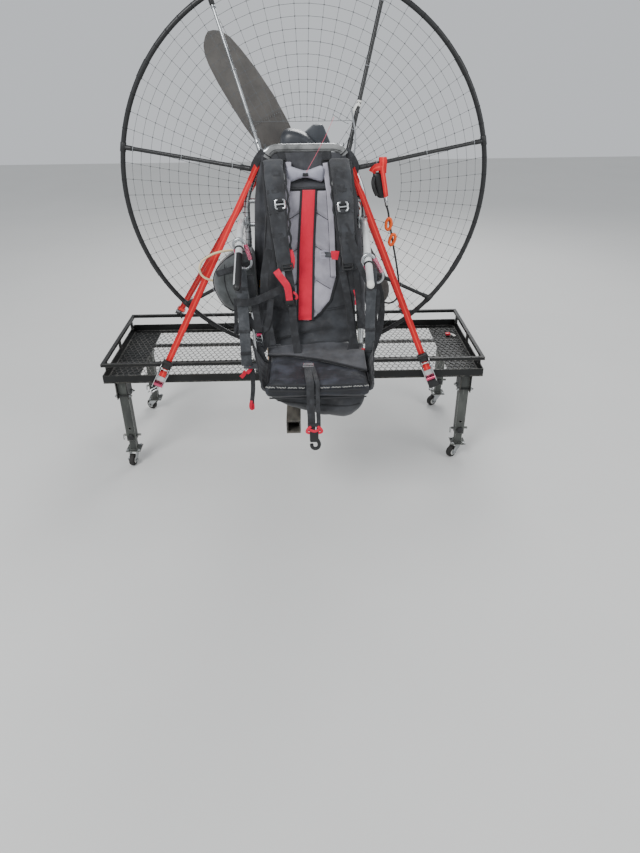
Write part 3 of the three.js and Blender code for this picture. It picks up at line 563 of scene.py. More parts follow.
def cast_metal():
    """Sand-cast aluminium with oil in its corners."""
    finish = Finish("Cast aluminium", metallic=0.85)
    oil = finish.noise(24, 5).step(0.42, 0.68)
    colour = finish.mix(oil, tone("9b9d9e"), tone("5c5a55"))
    finish.set(base_color=colour, roughness=0.45 + finish.noise(90, 3) * 0.3)
    finish.bump(finish.noise(420, 4), 0.0006, 0.7)
    return finish.material


def machined_metal():
    finish = Finish("Machined aluminium", metallic=1.0)
    rings = finish.noise(30, 2, stretch=(40, 1, 40))
    finish.set(base_color=finish.mix(rings, tone("9fa3a6"), tone("cfd2d4")), roughness=0.22 + rings * 0.2)
    finish.bump(rings, 0.0001, 0.4)
    return finish.material


def exhaust_steel():
    """Bare steel tinted brown and blue by heat."""
    finish = Finish("Heat-tinted steel", metallic=0.9)
    stops = {"stops": [(0.25, tone("5b5650")), (0.45, tone("7a6248")), (0.6, tone("5d5a66")),
                       (0.8, tone("8c8880"))]}
    heat = finish.node("ShaderNodeValToRGB", stops, {0: finish.noise(11, 3)})
    soot = finish.noise(45, 5).step(0.5, 0.7)
    colour = finish.mix(soot * 0.7, heat, tone("2a2724"))
    finish.set(base_color=colour, roughness=0.38 + soot * 0.35)
    finish.bump(finish.noise(380, 3), 0.0003, 0.6)
    return finish.material


def gloss_shell():
    """Dark semi-gloss moulding, a little dusty."""
    finish = Finish("Dark glossy moulding", coat_weight=0.3, coat_roughness=0.3)
    dust = finish.noise(35, 5).step(0.45, 0.8)
    colour = finish.mix(dust * 0.35, tone("2a2d33"), tone("50545b"))
    finish.set(base_color=colour, roughness=0.42 + dust * 0.2)
    finish.bump(finish.noise(28, 2), 0.0006, 0.3)
    return finish.material


def slate_shell():
    finish = Finish("Slate grey moulding", coat_weight=0.15, coat_roughness=0.3)
    dust = finish.noise(40, 4)
    finish.set(base_color=finish.mix(dust, tone("2f3338"), tone("474c53")), roughness=0.42 + dust * 0.15)
    finish.bump(finish.noise(900, 2), 0.0002, 0.5)
    return finish.material


def tank_plastic():
    """Milky moulded plastic that shows the fuel inside as a warmer band."""
    finish = Finish("Milky tank plastic", subsurface_weight=0.15, subsurface_scale=0.01)
    _, _, height = finish.axes(finish.place())
    fuel = 1 - (height + finish.noise(20, 2) * 0.01).step(0.518, 0.526)
    colour = finish.mix(fuel, tone("d8d6cb"), tone("c9a98e"))
    colour = finish.mix(finish.noise(26, 5).step(0.55, 0.8) * 0.5, colour, tone("8d887c"))
    finish.set(base_color=colour, roughness=0.4 + finish.noise(60, 3) * 0.15)
    finish.bump(finish.noise(240, 3), 0.0003, 0.5)
    return finish.material


def moulded(name, dark, light, rough=0.45, grain=700, lift=0.00015):
    """Plain moulded plastic or rubber with a fine grain."""
    finish = Finish(name)
    clouds = finish.noise(40, 4)
    finish.set(base_color=finish.mix(clouds, tone(dark), tone(light)), roughness=rough + clouds * 0.12)
    finish.bump(finish.noise(grain, 2), lift, 0.5)
    return finish.material


def handle_foam():
    """Pale closed-cell foam sleeve."""
    finish = Finish("Pale foam sleeve")
    cells = finish.node("ShaderNodeTexVoronoi", None, {"Vector": finish.place(), "Scale": 900.0})
    grime = finish.noise(30, 4).step(0.4, 0.75)
    finish.set(base_color=finish.mix(grime, tone("868787"), tone("5c5d5d")), roughness=0.85 + grime * 0.1)
    finish.bump(cells, 0.0005, 0.8)
    return finish.material


def cloth(name, dark, light, thread=0.0011, rough=0.85, sheen=0.25, lift=0.00025, fade=0.5):
    """Woven cloth: a plain weave of threads, with faded and dusty patches and soft creases."""
    finish = Finish(name, sheen_weight=sheen, sheen_roughness=0.5)
    x, y, z = finish.axes(finish.place())
    turns = 2 * math.pi / thread
    weave = ((x + y * 0.6) * turns).sine() * ((z + y * 0.8) * turns).sine()
    patches = finish.noise(18, 5).step(0.3, 0.75)
    dust = finish.noise(34, 6).step(0.5, 0.85)
    colour = finish.mix(patches * fade, tone(dark), tone(light))
    colour = finish.mix(dust * 0.14, colour, tone("7d7b78"))
    creases = finish.noise(38, 4, stretch=(1, 1, 1.6))
    finish.set(base_color=colour, roughness=rough + patches * 0.1)
    finish.bump(weave * 0.25 + creases * 5.0, lift, 0.6)
    return finish.material


def spacer_mesh():
    """Pale lavender-grey spacer mesh with rows of small holes."""
    finish = Finish("Pale spacer mesh", sheen_weight=0.2, sheen_roughness=0.6)
    x, _, z = finish.axes(finish.place())
    pitch = 2 * math.pi / 0.0032
    holes = ((x * pitch).sine() * (z * pitch).sine()).math("ABSOLUTE")
    open_hole = holes.step(0.55, 0.9)
    patches = finish.noise(14, 4).step(0.3, 0.7)
    colour = finish.mix(patches, tone("97959f"), tone("b7b4bf"))
    colour = finish.mix(open_hole * 0.35, colour, tone("66656e"))
    finish.set(base_color=colour, roughness=0.85 + patches * 0.1)
    finish.bump(1 - open_hole, 0.0004, 0.7)
    return finish.material


def webbing(name, dark, light, rib=0.0018, rough=0.75, line=None):
    """Woven webbing: ribs along it, small steps across, and a paler line down the middle if asked."""
    finish = Finish(name, sheen_weight=0.2, sheen_roughness=0.4)
    along, across, _ = finish.axes(finish.along())
    ribs = (across * (2 * math.pi / rib)).sine()
    steps = ((along + across * 0.5) * (2 * math.pi / 0.0022)).sine()
    grime = finish.noise(45, 4).step(0.4, 0.8)
    colour = finish.mix(grime * 0.6, tone(dark), tone(light))
    if line:
        stripe = 1 - across.math("ABSOLUTE").step(0.002, 0.003)
        colour = finish.mix(stripe * 0.8, colour, tone(line))
    colour = finish.mix((steps * 0.5 + 0.5) * 0.12, colour, tone("000000"))
    finish.set(base_color=colour, roughness=rough + grime * 0.1)
    finish.bump(ribs * 0.6 + steps, 0.00022, 0.7)
    return finish.material


def red_cloth():
    """Saturated red cloth of the stripe down the back, with its embroidery bare."""
    finish = Finish("Red stripe cloth", sheen_weight=0.25, sheen_roughness=0.5)
    x, _, z = finish.axes(finish.place())
    twill = ((x + z) * (2 * math.pi / 0.0016)).sine()
    patches = finish.noise(26, 4)
    finish.set(base_color=finish.mix(patches, tone("d4032a"), tone("f01543")),
               roughness=0.7 + patches * 0.1)
    finish.bump(twill, 0.0002, 0.6)
    return finish.material


def seat_vinyl():
    """Blue-black coated cloth with a leather-like grain and dusty wear."""
    finish = Finish("Coated seat cloth", sheen_weight=0.1, sheen_roughness=0.5, coat_weight=0.08,
                    coat_roughness=0.4)
    grain = finish.node("ShaderNodeTexVoronoi", {"feature": "SMOOTH_F1"},
                        {"Vector": finish.place(), "Scale": 420.0})
    wear = finish.noise(16, 6).step(0.45, 0.75)
    chalk = finish.noise(55, 6, stretch=(1, 2.5, 1)).step(0.62, 0.78)
    colour = finish.mix(wear, tone("1d1f25"), tone("3b3e48"))
    colour = finish.mix(chalk * 0.3, colour, tone("80838c"))
    creases = finish.noise(30, 4, stretch=(0.6, 1.8, 1))
    finish.set(base_color=colour, roughness=0.5 + wear * 0.2)
    finish.bump(grain * 0.4 + creases * 3.0, 0.0005, 0.6)
    return finish.material


def thread(name, dark, light):
    finish = Finish(name)
    twist = finish.noise(700, 2)
    finish.set(base_color=finish.mix(twist, tone(dark), tone(light)), roughness=0.7 + twist * 0.1)
    finish.bump(twist, 0.0002, 0.6)
    return finish.material


# Finishes that differ only in their colours, roughness and grain

black_steel = partial(metal, "Black satin paint on steel", "0c0d0d", "1b1d1d", 0.46, worn="6d6a63",
                      metallic=0.25, grain=700)
zinc = partial(metal, "Zinc plate", "8f9293", "c2c5c6", 0.3, worn="6f6c66", grain=500)
satin_tube = partial(metal, "Satin aluminium tube", "6e7173", "b4b7b9", 0.26, grain=1200)
bare_tube = partial(metal, "Bare aluminium tube", "a9acae", "d3d6d8", 0.3, grain=1200)
white_tube = partial(metal, "Pale lacquered tube", "c4c7c9", "eceeee", 0.32, metallic=0.35, grain=900)
buckle_metal = partial(metal, "Bright buckle", "b8bbbd", "e2e4e5", 0.24, grain=1500)
brass = partial(metal, "Brass", "a8813a", "d1ab5c", 0.28, grain=1200)
pink_metal = partial(metal, "Pink anodised alloy", "c0305c", "e2688a", 0.22, metallic=0.9, grain=1500)
tyre_rubber = partial(moulded, "Caster rubber", "161616", "2e2c2a", 0.65, 400, 0.0003)
black_plastic = partial(moulded, "Black moulded plastic", "121213", "222324", 0.4)
cable_grey = partial(moulded, "Grey cable", "6c6f73", "9b9ea1", 0.4)
orange_plastic = partial(moulded, "Orange moulded plastic", "d9480a", "f26a1e", 0.35)
red_plastic = partial(moulded, "Red moulded plastic", "b80f22", "e02f42", 0.35)
white_plastic = partial(moulded, "White nylon", "c9cac6", "e8e8e4", 0.4)
cream_hose = partial(moulded, "Cream fuel hose", "d9c295", "eddcb4", 0.35)
pack_cloth = partial(cloth, "Black pack cloth", "222326", "4d5055")
yoke_cloth = partial(cloth, "Black seat cloth", "27282c", "5a5c62", rough=0.7, sheen=0.35)
cover_cloth = partial(cloth, "Blade cover canvas", "53514f", "6b6864", thread=0.0016, rough=0.9,
                      lift=0.0005, fade=0.5)
grey_cloth = partial(cloth, "Pale grey cloth", "8e8e9b", "b3b3c0", thread=0.0009, sheen=0.15, fade=0.7)
pouch_canvas = partial(cloth, "Weathered pouch cloth", "313434", "616567", rough=0.8, fade=0.8)
black_web = partial(webbing, "Black webbing", "222326", "4e5054")
grey_web = partial(webbing, "Faded grey webbing", "3a3d41", "67696d")
red_web = partial(webbing, "Red tie-down webbing", "cf0d16", "f21a22", rib=0.0024, rough=0.7, line="ff4a40")
pink_web = partial(webbing, "Pink-red tape", "d60a34", "f52f58", rib=0.0015)
white_thread = partial(thread, "White thread", "c6c6c0", "e4e4df")
black_thread = partial(thread, "Black piping", "141517", "2a2b2e")
net_cord = partial(thread, "Net cord", "3b3d3f", "626567")
pink_thread = partial(thread, "Pink thread", "d23a55", "ef7c92")


def studio_floor():
    finish = Finish("Pale floor")
    finish.set(base_color=finish.mix(finish.noise(1.5, 3), tone("cfcfcd"), tone("d6d6d4")), roughness=0.85)
    return finish.material


MADE = {}


def paint(maker):
    """The material that a finish function makes, made once."""
    if maker not in MADE:
        MADE[maker] = maker()
    return MADE[maker]


# Camera and stage

class PARAMOTOR_OT_camera(bpy.types.Operator):
    """Places the camera where the photographer stood: in front, a little above, looking down"""

    bl_idname = "paramotor.camera"
    bl_label = "Camera"

    POSITION = Vector((0.0535, -2.370, 1.5313))
    YAW, PITCH, ROLL = 0.0207, 0.527, -0.0109
    LENS, SENSOR_HEIGHT = 27.05, 36.0

    def execute(self, context):
        data = bpy.data.cameras.new("Camera")
        data.sensor_fit = "VERTICAL"
        data.sensor_height = self.SENSOR_HEIGHT
        data.lens = self.LENS
        camera = bpy.data.objects.new("Camera", data)
        context.scene.collection.objects.link(camera)
        turn = Matrix.Rotation(self.ROLL, 3, "Z") @ Matrix.Rotation(self.PITCH, 3, "X")
        turn = turn @ Matrix(((1, 0, 0), (0, 0, -1), (0, 1, 0))) @ Matrix.Rotation(self.YAW, 3, "Z")
        facing = (Matrix.Diagonal((1, -1, -1)) @ turn).transposed()
        camera.matrix_world = Matrix.Translation(self.POSITION) @ facing.to_4x4()
        context.scene.camera = camera
        return {"FINISHED"}


class PARAMOTOR_OT_stage(bpy.types.Operator):
    """Lays a plain pale floor and sets soft studio light"""

    bl_idname = "paramotor.stage"
    bl_label = "Stage"

    FLOOR_HALF = 9.0
    LIGHTS = (
        # name, place, size, power
        ("Key", (-2.2, -3.2, 4.2), 2.4, 190.0),
        ("Fill", (3.4, -2.2, 2.6), 2.6, 60.0),
        ("Rim", (0.8, 3.4, 3.2), 2.2, 90.0),
    )

    def execute(self, context):
        mesh = bpy.data.meshes.new("Floor")
        half = self.FLOOR_HALF
        mesh.from_pydata([(-half, -half, 0), (half, -half, 0), (half, half, 0), (-half, half, 0)], [],
                         [(0, 1, 2, 3)])
        mesh.materials.append(paint(studio_floor))
        floor = bpy.data.objects.new("Floor", mesh)
        context.scene.collection.objects.link(floor)
        target = spot(0, -200, 850)
        for name, place, size, power in self.LIGHTS:
            data = bpy.data.lights.new(name, "AREA")
            data.shape = "DISK"
            data.size = size
            data.energy = power
            light = bpy.data.objects.new(name, data)
            light.location = place
            light.rotation_euler = (target - Vector(place)).to_track_quat("-Z", "Y").to_euler()
            context.scene.collection.objects.link(light)
        world = bpy.data.worlds.new("Soft studio")
        world.use_nodes = True
        back = world.node_tree.nodes["Background"]
        back.inputs["Color"].default_value = (0.86, 0.89, 0.93, 1.0)
        back.inputs["Strength"].default_value = 0.75
        context.scene.world = world
        return {"FINISHED"}


# Carrier

class DeckSettings(bpy.types.PropertyGroup):
    """Sizes of the expanded metal deck"""

    across: FloatProperty(name="Diamond width", description="Diamond across its short way", default=0.0234,
                          min=0.01, unit="LENGTH")
    along: FloatProperty(name="Diamond length", description="Diamond along its long way", default=0.0508,
                         min=0.02, unit="LENGTH")
    strand: FloatProperty(name="Strand", description="Width of one strand", default=0.0026, min=0.001,
                          unit="LENGTH")


class PARAMOTOR_OT_carrier_steel(bpy.types.Operator):
    """Paints the tray, rail, hitch bar and legs and rounds their edges"""

    bl_idname = "paramotor.carrier_steel"
    bl_label = "Carrier steel"

    def execute(self, context):
        for name in ("tray_floor", "tray_rim", "top_rail"):
            finish_node(name, black_steel, 0.0012)
        finish_node("hitch_tube", hitch_steel, 0.0012)
        for leg in LEGS:
            finish_node(f"leg_{leg[0]}", leg_steel, 0.0016)
            finish_node(f"caster_fork_{leg[0]}", zinc, 0.0006)
            finish_node(f"caster_wheel_{leg[0]}", tyre_rubber, 0.0006)
        return {"FINISHED"}


class PARAMOTOR_OT_deck(bpy.types.Operator):
    """Makes the fine expanded metal of the deck, strand by strand"""

    bl_idname = "paramotor.deck"
    bl_label = "Deck"

    EDGE, INSET = 0.0015, 0.004
    BOND = 0.0052
    TILT = math.radians(32)
    THICK = 0.0016

    def execute(self, context):
        sizes = settings().deck
        low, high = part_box("deck_mesh")
        middle = (low + high) / 2
        parts = Solids()
        half_x, half_y = (high.x - low.x) / 2 - self.EDGE, (high.y - low.y) / 2 - self.EDGE
        step_x, step_y = sizes.across / 2, sizes.along / 2
        columns, rows = int(half_x / step_x) + 1, int(half_y / step_y) + 1
        for row in range(-rows, rows):
            for column in range(-columns, columns):
                rows_met = (row + 1, row) if (row + column) % 2 else (row, row + 1)
                start = Vector((column * step_x, rows_met[0] * step_y, 0))
                end = Vector(((column + 1) * step_x, rows_met[1] * step_y, 0))
                if max(abs(start.x), abs(end.x)) > half_x or max(abs(start.y), abs(end.y)) > half_y:
                    continue
                self.strand(parts, middle, start, end, sizes.strand, deck_steel)
        for y in (low.y + self.INSET, high.y - self.INSET):
            parts.box(Vector((middle.x, y, middle.z)), (2 * half_x, 0.006, 0.002), deck_steel, round_by=0)
        for x in (low.x + self.INSET, high.x - self.INSET):
            parts.box(Vector((x, middle.y, middle.z)), (0.006, 2 * half_y, 0.002), deck_steel, round_by=0)
        parts.make("expanded_metal", replaces=["deck_mesh"])
        return {"FINISHED"}

    def strand(self, parts, middle, start, end, width, steel):
        """One leaning strand between two bonds, which run a little way straight along Y."""
        sign = 1 if end.y > start.y else -1
        bond = Vector((0, sign * self.BOND, 0))
        path = [middle + start, middle + start + bond, middle + end - bond, middle + end]
        lean = Vector((0, math.sin(self.TILT), math.cos(self.TILT)))
        half = width / 2
        section = [(half, self.THICK / 2), (-half, self.THICK / 2), (-half, -self.THICK / 2),
                   (half, -self.THICK / 2)]
        parts.sweep(path, section, steel, facing=lean)


LEGS = (
    # name, side along X, side along Y
    ("front_left", -1, -1),
    ("front_right", 1, -1),
    ("rear_left", -1, 1),
    ("rear_right", 1, 1),
)


class PARAMOTOR_OT_leg_fittings(bpy.types.Operator):
    """Adds the legs' bolts, pins, knobs and hairpins"""

    bl_idname = "paramotor.leg_fittings"
    bl_label = "Leg fittings"

    LEG_X, LEG_Y = 700, 235
    BOLT_ROW_Z = 330
    PIN_Z = 132
    PLATE_BOLT = 23

    def execute(self, context):
        for name, side_x, side_y in LEGS:
            parts = Solids()
            middle_x, middle_y = side_x * self.LEG_X, side_y * self.LEG_Y
            self.bracket_bolts(parts, middle_x, middle_y)
            self.knob_and_pin(parts, middle_x, middle_y)
            self.plate_bolts(parts, middle_x, middle_y)
            parts.make(f"leg_fittings_{name}")
        return {"FINISHED"}

    def bracket_bolts(self, parts, x, y):
        """Two bolts through the bracket plates and the leg."""
        for bolt_y in (y - 24, y + 24):
            for side in (-1, 1):
                axis = Vector((side, 0, 0))
                face = tray_spot(x + side * 23.5, bolt_y, self.BOLT_ROW_Z)
                parts.turned(face, axis, [(0, 0.0085), (0.0012, 0.0085), (0.0013, 0.001)], zinc)
                parts.hexagon(face + axis * 0.0012, axis, 0.012, 0.006, zinc)
            bolt_ends = [tray_spot(x + reach, bolt_y, self.BOLT_ROW_Z) for reach in (-34, 36)]
            parts.rod(*bolt_ends, 0.003, black_steel)

    def knob_and_pin(self, parts, x, y):
        """A black clamp knob in front, a sleeve round the insert and a bent hairpin on the cross pin."""
        face = tray_spot(x, y - 19.2, self.PIN_Z)
        parts.turned(face, FRONT, [(0, 0.006), (0.002, 0.0115), (0.008, 0.0125), (0.0105, 0.009),
                                   (0.011, 0.001)], black_plastic)
        for turn in range(6):
            angle = math.radians(60 * turn)
            lobe = face + Vector((math.cos(angle), 0, math.sin(angle))) * 0.0112
            parts.rod(lobe + FRONT * 0.0015, lobe + FRONT * 0.0085, 0.0032, black_plastic, sides=12)
        pin_end = tray_spot(x - 34, y, self.PIN_Z)
        loop = ring_path(pin_end + Vector((-0.002, 0, -0.010)), Vector((0.0, 0.009, 0)),
                         Vector((0, 0, 0.012)), count=28)
        parts.tube(loop, 0.0013, zinc, sides=8, closed=True)
        for side in (-1, 1):
            washer = tray_spot(x + side * 19.4, y, self.PIN_Z)
            parts.turned(washer, Vector((side, 0, 0)), [(0, 0.0085), (0.002, 0.0085), (0.0021, 0.0052)],
                         zinc)

    def plate_bolts(self, parts, x, y):
        """Four bolts that hold the caster's plate."""
        for side_x in (-1, 1):
            for side_y in (-1, 1):
                top = tray_spot(x + side_x * self.PLATE_BOLT, y + side_y * self.PLATE_BOLT, 66)
                parts.turned(top, UP, [(0, 0.007), (0.001, 0.007), (0.0011, 0.001)], zinc)
                parts.hexagon(top + Vector((0, 0, 0.001)), UP, 0.010, 0.0045, zinc)


class PARAMOTOR_OT_caster_fittings(bpy.types.Operator):
    """Adds the axle nuts and bearing race of each caster and its wheel's hub discs"""

    bl_idname = "paramotor.caster_fittings"
    bl_label = "Caster fittings"

    def execute(self, context):
        for name, _, _ in LEGS:
            joint = next(j for j in FRAME["joints"] if j["name"] == f"wheel_{name}_roll")
            centre, axis = Vector(joint["pos_m"]), Vector(joint["axis"]).normalized()
            fork = Solids()
            for side in (-1, 1):
                face = centre + axis * side * 0.0181
                fork.hexagon(face, axis * side, 0.0105, 0.005, zinc)
            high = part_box(f"caster_fork_{name}")[1]
            pivot = Vector(next(j for j in FRAME["joints"] if j["name"] == f"swivel_{name}_turn")["pos_m"])
            race = ring_path(Vector((pivot.x, pivot.y, high.z - 0.003)), Vector((0.0228, 0, 0)),
                             Vector((0, 0.0228, 0)), count=40)
            fork.tube(race, 0.0016, zinc, sides=8, closed=True)
            fork.make(f"fork_fittings_{name}", f"swivel_{name}")
            wheel = Solids()
            hub = [(0, 0.0045), (0.0012, 0.0095), (0.002, 0.0135), (0.0021, 0.0048)]
            for side in (-1, 1):
                wheel.turned(centre + axis * side * 0.0099, axis * side, hub, white_plastic)
            wheel.make(f"wheel_hub_{name}", f"wheel_{name}")
        return {"FINISHED"}


class PARAMOTOR_OT_hitch_fittings(bpy.types.Operator):
    """Adds the hitch bar's clamp plate and bolts under the tray, and weld beads"""

    bl_idname = "paramotor.hitch_fittings"
    bl_label = "Hitch fittings"

    def execute(self, context):
        parts = Solids()
        for y in (-95, 95):
            for side in (-1, 1):
                bolt = tray_spot(side * 36, y, 396.5)
                parts.hexagon(bolt, DOWN, 0.016, 0.008, zinc)
                parts.rod(tray_spot(side * 36, y, 397), tray_spot(side * 36, y, 339), 0.005, zinc)
                parts.hexagon(tray_spot(side * 36, y, 338.4), DOWN, 0.016, 0.007, zinc)
            parts.box(tray_spot(0, y, 342.5), (0.096, 0.036, 0.005), black_steel, round_by=0.001)
        for side_x in (-1, 1):
            for y in (-225, 0, 225):
                weld = ring_path(tray_spot(side_x * 756.5, y, 431.6), Vector((0.0052, 0, 0)),
                                 Vector((0, 0.0058, 0)), count=16)
                parts.tube(weld, 0.0018, black_steel, sides=6, closed=True)
        parts.make("hitch_clamps")
        return {"FINISHED"}


# Tubes of the motor

FRAME_Y = -250
HOOP_Y, HUB_Z, HOOP_RADIUS, HOOP_TUBE = -112, 1113, 660, 9
SPARS = (
    # name, degrees on the hoop, x and z of its socket, finish
    ("spar_left", 168, -180, 1190, black_tube),
    ("spar_right", 12.5, 180, 1190, black_tube),
    ("spar_upper_left", 117, -148, 1240, satin_tube),
    ("spar_upper_right", 65.8, 148, 1240, black_tube),
    ("spar_lower_left", 223, -209, 840, black_tube),
    ("spar_lower_right", -42, 209, 840, black_tube),
)
HOOP_JOINTS = (35, 145, 207, 333)
HOOP_SECTIONS = (
    # name, start and end in degrees
    ("hoop_top", 35, 145),
    ("hoop_left", 145, 207),
    ("hoop_bottom", 207, 333),
    ("hoop_right", 333, 395),
)


def on_hoop(degrees, radius=HOOP_RADIUS, y=HOOP_Y):
    turn = math.radians(degrees)
    return spot(radius * math.cos(turn), y, HUB_Z + radius * math.sin(turn))


def spar_ends(degrees, x, z):
    return spot(x, FRAME_Y, z), on_hoop(degrees, HOOP_RADIUS - HOOP_TUBE - 0.3)


def bent(points, bend, step=0.012):
    """A path with straight runs and rounded corners."""
    path = [points[0]]
    for before, corner, after in zip(points, points[1:], points[2:]):
        back, ahead = before - corner, after - corner
        trim = min(bend, back.length * 0.45, ahead.length * 0.45)
        enter, leave = corner + back.normalized() * trim, corner + ahead.normalized() * trim
        count = max(4, round(2 * trim / step))
        for i in range(count + 1):
            t = i / count
            path.append(enter * (1 - t) ** 2 + corner * 2 * t * (1 - t) + leave * t ** 2)
    return [*path, points[-1]]


class PARAMOTOR_OT_main_frame(bpy.types.Operator):
    """Makes the frame's bent tube, its crossbars with their welds, and the spar sockets"""

    bl_idname = "paramotor.main_frame"
    bl_label = "Main frame"

    TUBE = 0.011
    ARCH = ((-205, 427.5), (-209, 1095), (-140, 1258), (140, 1258), (209, 1095), (205, 427.5))
    CROSSBARS = ((209, 1005), (209, 1085), (160, 1205))

    def execute(self, context):
        parts = Solids()
        arch = bent([spot(x, FRAME_Y, z) for x, z in self.ARCH], 0.055)
        parts.tube(arch, self.TUBE, bare_tube, sides=24)
        for half, z in self.CROSSBARS:
            parts.tube([spot(-half + 4, FRAME_Y, z), spot(half - 4, FRAME_Y, z)], 0.009, bare_tube,
                       sides=20)
            for side in (-1, 1):
                self.weld(parts, spot(side * (half - 10.5), FRAME_Y, z), Vector((side, 0, 0)), 0.0095)
        for _, degrees, x, z, maker in SPARS:
            start, end = spar_ends(degrees, x, z)
            along = (end - start).normalized()
            socket = [(0, 0.009), (0.0355, 0.009), (0.037, 0.0083), (0.0371, 0.0071)]
            parts.turned(start + along * 0.008, along, socket, maker)
            parts.box(start + along * 0.036 + Vector((0, -0.009, 0)), (0.004, 0.004, 0.006), black_plastic)
        parts.make("frame_tubes", replaces=["main_frame"])
        return {"FINISHED"}

    def weld(self, parts, centre, axis, radius):
        out = axis.orthogonal().normalized()
        bead = ring_path(centre, out * radius, axis.cross(out) * radius, count=24)
        parts.tube(bead, 0.0014, bare_tube, sides=6, closed=True)


class PARAMOTOR_OT_hoop(bpy.types.Operator):
    """Makes the hoop's four tubes with their joining sleeves, and the spars with their end clamps"""

    bl_idname = "paramotor.hoop"
    bl_label = "Hoop and spars"

    def execute(self, context):
        for name, start, end in HOOP_SECTIONS:
            parts = Solids()
            count = round((end - start) / 1.5)
            path = [on_hoop(start + (end - start) * i / count) for i in range(count + 1)]
            parts.tube(path, HOOP_TUBE / 1000, black_tube, sides=20)
            parts.make(name.replace("hoop", "hoop_tube"), replaces=[name])
        sleeves = Solids()
        for degrees in HOOP_JOINTS:
            path = [on_hoop(degrees + i) for i in np.linspace(-2.6, 2.6, 9)]
            sleeves.tube(path, 0.0101, black_tube, sides=20)
            for end in (path[0], path[-1]):
                way = (end - path[4]).normalized()
                sleeves.rod(end - way * 0.003, end + way * 0.001, 0.0106, black_plastic, sides=20)
        sleeves.make("hoop_sleeves")
        for name, degrees, x, z, maker in SPARS:
            self.spar(name, degrees, x, z, maker)
        return {"FINISHED"}

    def spar(self, name, degrees, x, z, finish):
        parts = Solids()
        start, end = spar_ends(degrees, x, z)
        along = (end - start).normalized()
        from_socket = start + along * 0.0453
        parts.tube([from_socket, end], 0.0057 if name == "spar_upper_left" else 0.007, finish, sides=20)
        cuff = on_hoop(degrees)
        tangent = (on_hoop(degrees + 1) - on_hoop(degrees - 1)).normalized()
        path = [cuff + tangent * s for s in (-0.016, -0.015, 0.015, 0.016)]
        parts.tube(path, 0.0106, black_plastic, sides=20, scale=lambda t: 1.0 if 0 < t < 1 else 0.93)
        parts.turned(end - along * 0.024, along, [(0, 0.0075), (0.002, 0.0088), (0.024, 0.0088)],
                     black_plastic)
        for share in (0.06, 0.5, 0.93):
            self.tie(parts, from_socket.lerp(end, share), along)
        parts.make(name.replace("spar", "hoop_spar"), replaces=[name])

    def tie(self, parts, centre, axis):
        """A nylon tie round the tube with its small head."""
        out = axis.orthogonal().normalized()
        ring = ring_path(centre, out * 0.0077, axis.cross(out) * 0.0077, count=20)
        parts.sweep(ring, flat_section(0.0022, 0.0010), cable_grey, facing=[(p - centre) for p in ring],
                    closed=True)
        parts.box(centre + out * 0.0092, (0.004, 0.004, 0.004), cable_grey, round_by=0.0008)


class PARAMOTOR_OT_spar_clips(bpy.types.Operator):
    """Makes the white clip and ties on the upper right spar, where the small cords hang from"""

    bl_idname = "paramotor.spar_clips"
    bl_label = "Spar clips"

    def execute(self, context):
        parts = Solids()
        _, degrees, x, z, _ = next(spar for spar in SPARS if spar[0] == "spar_upper_right")
        start, end = spar_ends(degrees, x, z)
        along = (end - start).normalized()
        for at, size in ((0.150, 0.012), (0.162, 0.010)):
            centre = start + along * at
            parts.rod(centre - along * size / 3, centre + along * size / 3, 0.0092, white_plastic)
        tab = [start + along * 0.158 + Vector(step) / 1000
               for step in ((0, -9, 1), (-9, -13, -6), (-17, -16, -21), (-23, -16, -34))]
        parts.strap(tab, 0.0075, white_plastic, facing=Vector((-0.4, -1, 0)))
        parts.make("spar_clips")
        return {"FINISHED"}


class NetSettings(bpy.types.PropertyGroup):
    """Sizes of the net across the hoop"""

    step: FloatProperty(name="Step", description="Degrees between the cords from the frame to the hoop",
                        default=5.0, min=2.5)
    cord: FloatProperty(name="Cord", description="Thickness of the net's cord", default=0.0012, min=0.0005,
                        unit="LENGTH")


FRAME_OUTLINE = ((205, 427), (209, 1095), (140, 1258), (-140, 1258), (-209, 1095), (-205, 427))


def frame_reach(degrees):
    """How far the frame's tube is from the hub's centre in one direction, and the tube's own direction."""
    turn = math.radians(degrees)
    way = np.array((math.cos(turn), math.sin(turn)))
    for (x0, z0), (x1, z1) in zip(FRAME_OUTLINE, FRAME_OUTLINE[1:]):
        start, run = np.array((x0, z0 - HUB_Z)), np.array((x1 - x0, z1 - z0))
        cross = way[0] * run[1] - way[1] * run[0]
        if abs(cross) < 1e-6:
            continue
        reach = (start[0] * run[1] - start[1] * run[0]) / cross
        share = (start[0] * way[1] - start[1] * way[0]) / cross
        if reach > 0 and 0 <= share <= 1:
            return reach, Vector((run[0], 0, run[1])).normalized()
    return HOOP_RADIUS, RIGHT


